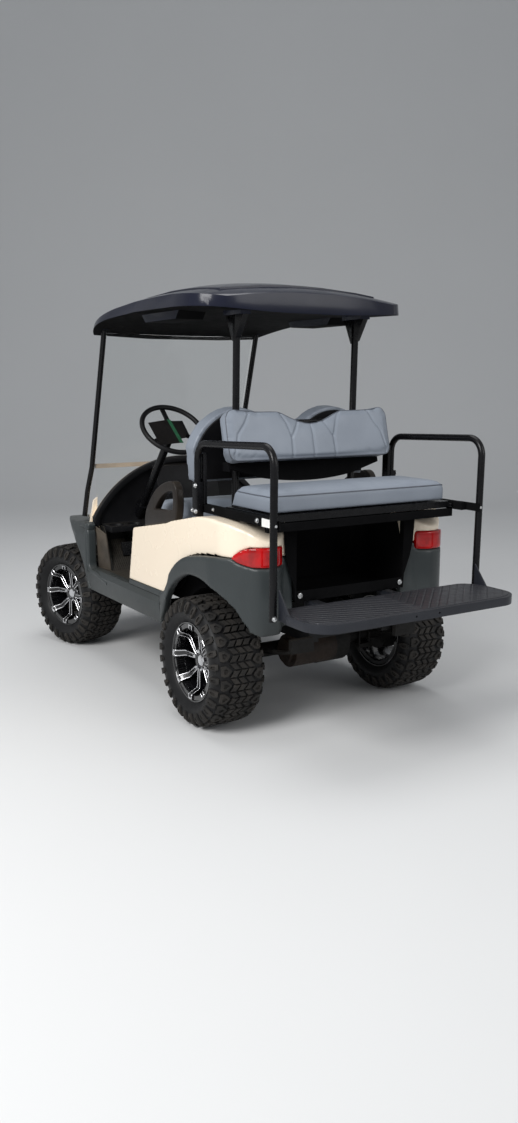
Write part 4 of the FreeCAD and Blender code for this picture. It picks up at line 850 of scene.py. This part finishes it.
def build_rim():
    """Turned barrel, eight spokes, a turned hub with cap, and five nuts round it."""
    skin = Skin()
    add_turned(skin, RIM_PROFILE, 96)
    rings = spoke_rings()
    rows, cols = rings.shape[1:3]
    faces = grid_faces(rows, cols, wrap_cols=True).reshape(rows - 1, cols, 4)
    bright = np.zeros((rows - 1, cols), bool)
    bright[:, [1, 2, 3, 7, 8, 9]] = True
    bright[-3:, 1:10] = True
    for spoke in rings:
        skin.add(spoke, faces[~bright], faces[bright], *end_caps(rows, cols), finish=(0, 1, 0, 0))
    add_turned(skin, HUB_PROFILE, 48, closed=False)
    add_turned(skin, CAP_PROFILE, 40, finish=2, closed=False)
    for number in range(NUTS):
        angle = 2 * np.pi * number / NUTS + FIRST_NUT
        centre = (NUT_CIRCLE * math.cos(angle), 0.0, NUT_CIRCLE * math.sin(angle))
        add_turned(skin, NUT_PROFILE, 6, finish=2, closed=False, centre=centre)
    return skin


rim_skin = build_rim()
print("rim points:", rim_skin.count)

# %% [markdown]
# ## Placing the wheels
# One tyre and one rim serve all four corners. A wheel's outward face looks along +y; on the right it
# is turned by half a turn, and in front it is turned about the kingpin by the steering angle at which
# the wheels stand in the photograph. The turn goes into the mesh, so the objects stay at the origin.

# %% Four wheels in their places
STEER_AT_REST = math.radians(14.0)
KINGPIN_Y, SPINDLE = 0.384, 0.130
WHEELS = [
    # corner, side, station, y of centre, steered angle
    ("rear_left", 1, 0.0, 0.5165, 0.0), ("rear_right", -1, 0.0, 0.5165, 0.0),
    ("front_left", 1, 1.664, 0.0, STEER_AT_REST), ("front_right", -1, 1.664, 0.0, STEER_AT_REST),
]


def wheel_matrix(side, station, y_centre, steer):
    """Outward face to +y or -y by half a turn about z, then the steering angle, then the wheel's place."""
    if steer:
        offset = Vector((0.0, side * SPINDLE, 0.0))
        offset.rotate(Matrix.Rotation(steer, 3, "Z"))
        centre = Vector((station + REAR_AXLE_X, side * KINGPIN_Y, WHEEL_RADIUS)) + offset
    else:
        centre = Vector((station + REAR_AXLE_X, side * y_centre, WHEEL_RADIUS))
    turn = Matrix.Rotation(steer + (0.0 if side > 0 else math.pi), 4, "Z")
    return Matrix.Translation(centre) @ turn


for corner, side, station, y_centre, steer in WHEELS:
    body = "wheel_" + corner
    matrix = wheel_matrix(side, station, y_centre, steer)
    tyre = make_piece("tread_" + corner, tyre_skin, [tread_rubber, side_rubber], body,
                      ("tyre_" + corner,), 30.0)
    tyre.data.transform(matrix)
    rim = make_piece("alloy_" + corner, rim_skin, [rim_black, machined, chrome], body,
                     ("rim_" + corner,), 30.0)
    rim.data.transform(matrix)
print("wheels placed:", len(WHEELS))

# %% [markdown]
# ## Tubes
# The guard hoops and front struts are bent round tube. CAD has the same paths, but its skin is in
# coarse facets, so the tubes are carried along their paths again with finer rings. Each hoop's front
# leg stands in a square socket with an inner plate, and these are bars on short straight paths.

# %% Guard hoops and front struts
HOOP_SOCKET, SOCKET_SECTION = [(0.055, 0.540, 0.9338), (0.052, 0.540, 1.085)], (0.036, 0.044, 0.005)
INNER_PLATE = [(0.055, 0.5125, 0.986), (0.052, 0.5125, 1.195), (0.051, 0.5150, 1.210)]
PLATE_SECTION = (0.018, 0.044, 0.004)
for name, slot_name, corners, radius, bend, node_name in (
    ("guard_hoops", "black_steel", [(0.055, 0.540, 0.9338), (0.050, 0.540, 1.250), (-0.568, 0.540, 1.270),
                                    (-0.558, 0.540, 0.586)], 0.0155, 0.075, "rear_arms"),
    ("front_posts", "black_steel", [(1.503, 0.505, 0.762), (1.497, 0.485, 0.905), (1.440, 0.476, 1.043),
                                    (1.213, 0.472, 1.786)], 0.0145, 0.060, "front_struts"),
):
    skin = Skin()
    for side in (1, -1):
        path = place(bent_path(corners, bend, 10)) * [1, side, 1]
        ring_stack(skin, carried(path, circle(radius, 24), (0, 1, 0)))
        if node_name == "rear_arms":
            for bar, section in ((HOOP_SOCKET, SOCKET_SECTION), (INNER_PLATE, PLATE_SECTION)):
                ring_stack(skin, carried(place(bar) * [1, side, 1], rounded_bar(*section), (0, 1, 0)))
    make_piece(name, skin, [powder_black], "chassis", (node_name,))
    print(name, "points", skin.count)

# %% [markdown]
# ## Padded seats
# Seat foam under vinyl bulges between its seams. Each pad starts as its CAD solid, is remeshed into
# even quads and inflated for twenty frames of cloth with its travel capped. It stays flat on the side
# that rests on a board or a shell. Seams and piping come afterwards, because a remesh would erase them.

# %% Inflating a pad
AIR_PRESSURE, CLOTH_QUALITY, CLOTH_FRAMES = 4.0, 4, 20


def puffed(node_name, new_name, shrink, cap, voxel, backed):
    """Copy of a soft node, remeshed, shrunk by shrink, blown up by cloth, moved at most cap, then subdivided.
    Nothing moves towards backed, the way in which the pad rests on something hard."""
    mesh = nodes[node_name].data.copy()
    face_outwards(mesh, MERGE)
    pad = bpy.data.objects.new(new_name, mesh)
    bpy.context.scene.collection.objects.link(pad)
    bpy.context.view_layer.objects.active = pad
    remesh = pad.modifiers.new("even", "REMESH")
    remesh.mode, remesh.voxel_size = "VOXEL", voxel
    bake_modifiers(pad)
    rest = read_points(pad.data)
    normals = read_normals(pad.data)
    rest = rest - normals * shrink
    write_points(pad.data, rest)
    cloth = pad.modifiers.new("air", "CLOTH")
    cloth.settings.use_pressure = True
    cloth.settings.uniform_pressure_force = AIR_PRESSURE
    cloth.settings.effector_weights.gravity = 0.0
    cloth.settings.quality = CLOTH_QUALITY
    for number in range(1, CLOTH_FRAMES + 1):
        bpy.context.scene.frame_set(number)
    bake_modifiers(pad)
    bpy.context.scene.frame_set(1)
    moved = read_points(pad.data) - rest
    length = np.linalg.norm(moved, axis=1)[:, None]
    moved *= np.minimum(1.0, cap / np.maximum(length, 1e-9))
    moved -= np.maximum(moved @ np.asarray(backed, float), 0.0)[:, None] * backed
    write_points(pad.data, rest + moved)
    relax = pad.modifiers.new("relax", "SMOOTH")
    relax.factor, relax.iterations = 0.5, 4
    finer = pad.modifiers.new("finer", "SUBSURF")
    finer.levels = finer.render_levels = 1
    bake_modifiers(pad)
    return pad


print("air pressure:", AIR_PRESSURE, "over frames:", CLOTH_FRAMES)

# %% Sewing a seam


def sewn(pad, line, depth, width, facing, plane):
    """Pushes a pad in along a seam: depth x exp(-(distance / width)^2) on points that face the seam's side.
    The distance is to a polyline in the two axes that plane names."""
    points, normals = read_points(pad.data), read_normals(pad.data)
    flat, line = points[:, plane], np.asarray(line, float)
    start, leg = line[:-1], np.diff(line, axis=0)
    share = np.clip(((flat[:, None] - start) * leg).sum(-1) / (leg ** 2).sum(-1), 0, 1)
    distance = np.linalg.norm(flat[:, None] - start - share[..., None] * leg, axis=-1).min(1)
    turned_to = np.clip(normals @ np.asarray(facing, float), 0, 1)
    push = depth * np.exp(-(distance / width) ** 2) * np.minimum(1.0, turned_to * 2)
    write_points(pad.data, points - normals * push[:, None])

# %% Four pads
PADS = [
    # node, new name, body, shrink, cap, voxel, way in which it is backed
    ("rear_back_pad", "rear_backrest", "chassis", 0.004, 0.012, 0.007, (1, 0, 0)),
    ("rear_seat_cushion", "rear_bench", "rear_seat_body", 0.004, 0.010, 0.009, (0, 0, -1)),
    ("front_seat_cushion", "front_bench", "chassis", 0.006, 0.010, 0.012, (0, 0, -1)),
    ("front_seat_pads", "front_backs", "chassis", 0.005, 0.010, 0.009, (-1, 0, 0)),
]
pads = {}
for node_name, new_name, body, shrink, cap, voxel, backed in PADS:
    pad = puffed(node_name, new_name, shrink, cap, voxel, backed)
    pads[new_name] = pad
    print(new_name, "points", len(pad.data.vertices))

# %% [markdown]
# ## Shape of the rear pads
# The backrest stands a little taller and wider than its solid, and the bench's front edge leans back
# towards its top. Both are smooth shifts of the finished points, which keep the bulges as they are.

# %% Backrest and bench shape
rest_points = read_points(pads["rear_backrest"].data)
REST_FOOT, REST_RISE, REST_SPREAD = 1.150, 1.110, 1.022
rest_points[:, 2] = np.maximum(rest_points[:, 2], REST_FOOT + (rest_points[:, 2] - REST_FOOT) * REST_RISE)
rest_points[:, 1] *= REST_SPREAD
write_points(pads["rear_backrest"].data, rest_points)
BENCH_LEAN, LEAN_DEPTH, LEAN_FOOT, LEAN_RISE = 0.032, 0.070, 0.995, 0.070
bench_points = read_points(pads["rear_bench"].data)
near_front = np.clip((bench_points[:, 0] - bench_points[:, 0].max() + LEAN_DEPTH) / LEAN_DEPTH, 0, 1)
high = np.clip((bench_points[:, 2] - LEAN_FOOT) / LEAN_RISE, 0, 1)
bench_points[:, 0] -= BENCH_LEAN * near_front * high
write_points(pads["rear_bench"].data, bench_points)
print("backrest top:", round(float(rest_points[:, 2].max()), 4))

# %% [markdown]
# ## Seams and piping
# A seam pulls the vinyl in along a line: the pad's points near it move inwards by a bell curve. The
# piping is a thin cord that runs along the pad's rounded edge, so its path is laid near the edge and
# then moved onto the nearest spot of the pad itself.

# %% Seams of the backrest
SEAM_DEPTH, MIDDLE_DEPTH, SEAM_WIDTH = 0.0042, 0.0038, 0.0058
REST_SEAMS = [
    # (across, height) of one side of the rear backrest: outer seam, inner seam, branch to the dip
    [(0.318, 1.385), (0.345, 1.336), (0.384, 1.289), (0.408, 1.203), (0.404, 1.150)],
    [(0.160, 1.385), (0.133, 1.335), (0.112, 1.272), (0.116, 1.150)],
    [(0.062, 1.350), (0.111, 1.272)],
]
for side in (1, -1):
    for line in REST_SEAMS:
        seam = np.array(line) * [side * REST_SPREAD, 1]
        sewn(pads["rear_backrest"], seam, SEAM_DEPTH, SEAM_WIDTH, (-1, 0, 0), [1, 2])
sewn(pads["rear_backrest"], [(0.0, 1.330), (0.0, 1.150)], MIDDLE_DEPTH, SEAM_WIDTH, (-1, 0, 0), [1, 2])

print("seams:", 2 * len(REST_SEAMS) + 1)

# %% Paths of the piping
REST_EDGE = [(0.390, 1.164), (0.428, 1.178), (0.440, 1.222), (0.440, 1.320), (0.426, 1.364), (0.385, 1.377),
             (0.280, 1.377), (0.172, 1.377), (0.120, 1.362), (0.068, 1.340), (0.000, 1.327)]
REST_LEAN, REST_FRONT, REST_HINGE = math.radians(14.0), -0.070, 1.160
rest_half = np.array(REST_EDGE) * [REST_SPREAD, 1]
rest_half[:, 1] = REST_FOOT + (rest_half[:, 1] - REST_FOOT) * REST_RISE
rest_bottom = [(-0.2, 1.163), (0.0, 1.163), (0.2, 1.163)]
rest_loop = np.concatenate([rest_half, rest_half[-2::-1] * [-1, 1], rest_bottom])
above = rest_loop[:, 1] - REST_HINGE
rest_path = place(np.stack([REST_FRONT + above * math.sin(REST_LEAN), rest_loop[:, 0],
                            REST_HINGE + above * math.cos(REST_LEAN)], 1))
BENCH_PIPING_Z = 1.062
BENCH_EDGE = [
    (-0.428, 0.40), (-0.428, 0.0), (-0.428, -0.40), (-0.426, -0.445), (-0.405, -0.465), (-0.250, -0.465),
    (-0.157, -0.465), (-0.132, -0.445), (-0.128, -0.40), (-0.128, 0.0), (-0.128, 0.40), (-0.132, 0.445),
    (-0.157, 0.465), (-0.250, 0.465), (-0.405, 0.465), (-0.426, 0.445),
]
bench_edge = np.array(BENCH_EDGE)
bench_path = place(np.stack([*bench_edge.T, np.full(len(bench_edge), BENCH_PIPING_Z)], 1))
print("piping corners:", len(rest_path), len(bench_path))

# %% Cord along a pad
PIPING_RADIUS, PIPING_OUT = 0.0027, 0.0004


def closed_line(points, count):
    """A smooth closed curve through points: the open formula run once more round, with its ends dropped."""
    steps = 12
    turned_on = np.concatenate([points[-2:], points, points[:3]])
    fine = eased_line(turned_on, (len(points) + 4) * steps + 1)
    run = fine[2 * steps:(2 + len(points)) * steps]
    return run[np.linspace(0, len(run), count, endpoint=False).astype(int)]


def piped(pad, path, radius, out, side):
    """A round cord along a closed path: each point moves to the pad's nearest point, out along its normal."""
    path = closed_line(path, 220)
    faces = [list(face.vertices) for face in pad.data.polygons]
    tree = BVHTree.FromPolygons(read_points(pad.data).tolist(), faces)
    found = [tree.find_nearest(Vector(point)) for point in path]
    path = np.array([spot + normal * out for spot, normal, *_ in found])
    for _ in range(6):
        path = (np.roll(path, 1, 0) + 2 * path + np.roll(path, -1, 0)) / 4
    tangent = np.roll(path, -1, 0) - np.roll(path, 1, 0)
    tangent /= np.linalg.norm(tangent, axis=1)[:, None]
    first = np.cross(tangent, side)
    first /= np.linalg.norm(first, axis=1)[:, None]
    second = np.cross(tangent, first)
    profile = circle(radius, 10)
    rings = path[:, None] + profile[None, :, :1] * first[:, None] + profile[None, :, 1:] * second[:, None]
    return rings, grid_faces(*rings.shape[:2], wrap_rows=True, wrap_cols=True)


print("cord radius:", PIPING_RADIUS)

# %% Piping and dressing
for pad_name, path, side, name, body in (
    ("rear_backrest", rest_path, (1, 0, 0), "backrest_piping", "chassis"),
    ("rear_bench", bench_path, (0, 0, 1), "bench_piping", "rear_seat_body"),
):
    rings, faces = piped(pads[pad_name], path, PIPING_RADIUS, PIPING_OUT, side)
    make_piece(name, Skin().add(rings, faces), [piping_vinyl], body)
for node_name, new_name, body, *_ in PADS:
    dress(pads[new_name], [seat_vinyl], body, (node_name,), 180.0)
print("pads dressed:", len(pads))

# %% [markdown]
# ## Footplate mat
# The footplate is a moulded board with a thin raised mat whose grooves run forward and outward from
# its middle. Cutting each groove is slow; a height field over the board's outline gives all of them.

# %% Grooved mat
MAT_EDGE = [
    # distance across, front edge, rear edge
    (0.000, -0.548, -0.844), (0.420, -0.548, -0.841), (0.470, -0.560, -0.825), (0.498, -0.590, -0.806),
    (0.516, -0.640, -0.770), (0.521, -0.690, -0.730),
]
MAT_LOW, MAT_TOP, MAT_FOOT = 0.6243, 0.6285, 0.002
MAT_BORDER, BORDER_FADE, NOSING = 0.010, 0.004, 0.003
GROOVE_STEP, GROOVE_HALF, GROOVE_DEPTH = 0.045, 0.0034, 0.0024


def grooved_mat(rows, cols):
    """Top z = mat top - groove depth where |y| - x is near a whole number of steps. A band along the edge
    stays flat, and each row is closed below the board's face."""
    edge = np.array(MAT_EDGE)
    y = edge[-1, 0] * np.linspace(-1, 1, rows)
    front, rear = (np.interp(np.abs(y), edge[:, 0], column) for column in edge[:, 1:].T)
    share = np.linspace(0, 1, cols)[None, :]
    x = front[:, None] + share * (rear - front)[:, None]
    spread = np.abs(y)[:, None] - x
    away = np.abs((spread / GROOVE_STEP + 0.5) % 1.0 - 0.5) * GROOVE_STEP
    from_end = edge[-1, 0] - np.abs(y)[:, None] + 0 * x
    inside = np.minimum.reduce([front[:, None] - x, x - rear[:, None], from_end])
    cut = np.clip(1.5 - away / GROOVE_HALF, 0, 1) * np.clip((inside - MAT_BORDER) / BORDER_FADE, 0, 1)
    z = MAT_TOP - GROOVE_DEPTH * cut - (MAT_TOP - MAT_LOW) * np.clip(1 - inside / NOSING, 0, 1) ** 2
    top = np.stack([x, y[:, None] + 0 * x, z], -1)
    low = top[:, [-1, 0]] * [1, 1, 0] + [0, 0, MAT_LOW - MAT_FOOT]
    return np.concatenate([top, low], 1)


mat_skin = ring_stack(Skin(), place(grooved_mat(440, 126)))
make_piece("footplate_mat", mat_skin, [plate_ribbed], "chassis", (), 70.0)
print("footplate mat points:", mat_skin.count)

# %% [markdown]
# ## Bolts, label and card
# Zinc bolts hold the hoops, rails and load well. Each is a washer and a domed head turned about the
# way it faces. A blank white label sits by the corner of the rail, and a blank card on the wheel.

# %% Bolt heads
BOLT_PROFILE = [(-0.002, 0.001), (-0.002, 0.0095), (0.0015, 0.0095), (0.0022, 0.0070), (0.0062, 0.0066),
                (0.0078, 0.0048), (0.0082, 0.001)]
BOLTS = [
    # station, y, z, way it faces, scale; each is repeated on the right
    (0.0390, 0.5590, 1.0700, (0, 1, 0), 1.1), (0.0390, 0.5590, 0.9570, (0, 1, 0), 1.1),
    (0.0680, 0.5215, 1.0900, (0, 1, 0), 1.0), (0.0680, 0.5590, 0.9600, (0, 1, 0), 1.0),
    (-0.4120, 0.5205, 0.9680, (0, 1, 0), 1.1), (-0.5720, 0.5380, 0.9660, (-1, 0, 0), 1.0),
    (-0.3545, 0.2722, 0.6200, (-1, 0, 0), 1.2), (-0.5740, 0.5420, 0.6000, (-1, 0, 0), 1.1),
    (-0.0500, 0.5205, 0.9720, (0, 1, 0), 0.8),
]
bolt_skin = Skin()
for station, y, z, way, size in BOLTS:
    for side in (1, -1):
        add_turned(bolt_skin, np.array(BOLT_PROFILE) * size, 20, closed=False, axis_x=(0, 0, 1),
                   centre=place([station, y * side, z]), axis_y=(way[0], way[1] * side, way[2]))
make_piece("zinc_bolts", bolt_skin, [zinc], "chassis", (), 30.0)
print("bolts:", bolt_skin.count)

# %% Blank label on the rail end and blank card on the steering wheel
LABEL_SECTION = [(0.521, 0.950), (0.5252, 0.950), (0.5252, 0.983), (0.521, 0.983)]
LABEL_ENDS = (-0.552, -0.452)
label = ring_stack(Skin(), place([[(x, y, z) for y, z in LABEL_SECTION] for x in LABEL_ENDS]))
make_piece("rail_label", label, [label_white], "chassis")
WHEEL_CENTRE, WHEEL_RAKE = np.array([0.842, 0.262, 1.273]), math.radians(47.7)
wheel_out = np.array([-math.cos(WHEEL_RAKE), 0.0, math.sin(WHEEL_RAKE)])
wheel_down = np.cross(wheel_out, [0.0, 1.0, 0.0])
CARD = [
    # finish, corners as (across, down the wheel), height above the wheel's plane
    (0, [(0.131, -0.039), (0.016, -0.058), (0.006, 0.110), (0.122, 0.119)], 0.0145),
    (1, [(0.0175, -0.059), (-0.001, -0.058), (-0.013, 0.111), (0.0065, 0.1105)], 0.0152),
    (0, [(-0.001, -0.050), (-0.040, -0.045), (-0.056, -0.018), (-0.054, 0.050), (-0.040, 0.075),
         (-0.010, 0.080)], 0.0140),
]
CARD_WALL = 0.0022
card = Skin()
for finish, corners, height in CARD:
    flat = np.array(corners)
    face = flat[:, :1] * np.array([[0.0, 1.0, 0.0]]) + flat[:, 1:] * wheel_down
    stack = np.stack([place(WHEEL_CENTRE + face + wheel_out * h) for h in (height - CARD_WALL, height)])
    ring_stack(card, stack, finish=finish)
make_piece("wheel_card", card, [black_plastic, card_green], "steering_wheel_body")
print("label and card points:", label.count + card.count)

# %% [markdown]
# ## Floor and light
# A wide pale floor rises through a true arc into a wall, so that no line shows where they meet. Large
# soft lamps keep colours close to how they are written. The world gives a plain fill, and a paler
# tone where the camera or a shiny surface looks at it.

# %% Stage
floor_tone = make_finish("studio_floor", (0.66, 0.66, 0.655, 1), (0.65, 0.65, 0.645, 1), (0.8, 0.9), 0.5)
SWEEP_START, SWEEP_RADIUS, FLOOR_REACH, WALL_HEIGHT, HALF_WIDTH = 7.0, 4.5, 14.0, 14.0, 16
STAGE_YAW = -0.5531
arc = np.linspace(0, np.pi / 2, 25)
wall = SWEEP_START + SWEEP_RADIUS
bend = np.stack([SWEEP_START + SWEEP_RADIUS * np.sin(arc), SWEEP_RADIUS * (1 - np.cos(arc))], 1)
curve = np.concatenate([[(-FLOOR_REACH, 0.0), (SWEEP_START - 0.1, 0.0)], bend,
                        [(wall, SWEEP_RADIUS + 0.1), (wall, WALL_HEIGHT)]])
across = np.linspace(-HALF_WIDTH, HALF_WIDTH, 9)
view_direction = np.array([math.cos(STAGE_YAW), math.sin(STAGE_YAW)])
aside_direction = np.array([-view_direction[1], view_direction[0]])
flat = curve[:, None, :1] * view_direction + across[None, :, None] * aside_direction
backdrop_points = np.concatenate([flat, np.broadcast_to(curve[:, None, 1:], flat.shape[:2] + (1,))], -1)
backdrop_mesh = bpy.data.meshes.new("studio_sweep")
backdrop_faces = grid_faces(*flat.shape[:2])[:, ::-1]
backdrop_mesh.from_pydata(backdrop_points.reshape(-1, 3).tolist(), [], backdrop_faces.tolist())
backdrop = bpy.data.objects.new("studio_sweep", backdrop_mesh)
backdrop_mesh.materials.append(floor_tone)
backdrop_mesh.polygons.foreach_set("use_smooth", np.ones(len(backdrop_mesh.polygons), bool))
bpy.context.scene.collection.objects.link(backdrop)

print("wall stands at", wall)

# %% Lamps
LAMP_TARGET = Vector((0, 0, 0.8))
LAMPS = [
    # name, place, size, power
    ("key_left", (-2.5, 5.0, 4.5), 3.0, 380), ("fill_rear", (-6.0, -2.5, 3.5), 3.5, 110),
    ("top", (0.5, 0.0, 6.0), 4.0, 120),
]
for name, spot, size, power in LAMPS:
    lamp = bpy.data.lights.new(name, "AREA")
    lamp.shape, lamp.size, lamp.energy = "SQUARE", size, power
    holder = bpy.data.objects.new(name, lamp)
    holder.location = spot
    holder.rotation_mode = "QUATERNION"
    holder.rotation_quaternion = (LAMP_TARGET - Vector(spot)).to_track_quat("-Z", "Y")
    bpy.context.scene.collection.objects.link(holder)
print("lamps:", [(name, power) for name, _, _, power in LAMPS])

# %% World
world = bpy.data.worlds.new("studio_air")
world.use_nodes = True
tree = world.node_tree
tree.nodes.clear()
rays = wire(tree, "LightPath").outputs
seen = wire(tree, "Math", {"operation": "MAXIMUM"}, {0: rays["Is Camera Ray"], 1: rays["Is Glossy Ray"]})
seen = wire(tree, "Math", {"operation": "MAXIMUM"}, {0: seen.outputs[0], 1: rays["Is Transmission Ray"]})
plain = wire(tree, "Background", sockets={"Color": (0.80, 0.85, 0.92, 1), "Strength": 0.35})
bright = wire(tree, "Background", sockets={"Color": (0.93, 0.94, 0.95, 1), "Strength": 0.55})
mixed = wire(tree, "MixShader", sockets={0: seen.outputs[0], 1: plain.outputs[0], 2: bright.outputs[0]})
wire(tree, "OutputWorld", sockets={"Surface": mixed.outputs[0]})
bpy.context.scene.world = world
bpy.context.scene.view_settings.view_transform = "Standard"
print("view:", bpy.context.scene.view_settings.view_transform)

# %% [markdown]
# ## Camera
# The camera stands where the photograph was taken, as fitted to the wheels and seats of the CAD. Its
# focal length is known in pixels of the photograph's height, so it is turned into millimetres here.

# %% Camera
CAMERA_PLACE = (-4.16907, 2.47167, 1.50070)
CAMERA_YAW, CAMERA_PITCH, CAMERA_ROLL = -0.553104, 0.185399, -0.000729
FOCAL_PIXELS, PHOTO_HEIGHT, SENSOR_MM = 942.79, 1123.0, 36.0
ahead = Vector((math.cos(CAMERA_YAW) * math.cos(CAMERA_PITCH), math.sin(CAMERA_YAW) * math.cos(CAMERA_PITCH),
                -math.sin(CAMERA_PITCH)))
right = ahead.cross(Vector((0, 0, 1))).normalized()
up = right.cross(ahead)
camera_data = bpy.data.cameras.new("photo_camera")
camera_data.sensor_width, camera_data.sensor_fit = SENSOR_MM, "AUTO"
camera_data.lens = SENSOR_MM * FOCAL_PIXELS / PHOTO_HEIGHT
camera_data.clip_end = 60.0
camera = bpy.data.objects.new("photo_camera", camera_data)
turn = Matrix((right, up, -ahead)).transposed() @ Matrix.Rotation(CAMERA_ROLL, 3, "Z")
camera.matrix_world = Matrix.Translation(CAMERA_PLACE) @ turn.to_4x4()
bpy.context.scene.collection.objects.link(camera)
bpy.context.scene.camera = camera
print("lens:", round(camera_data.lens, 2), "mm")
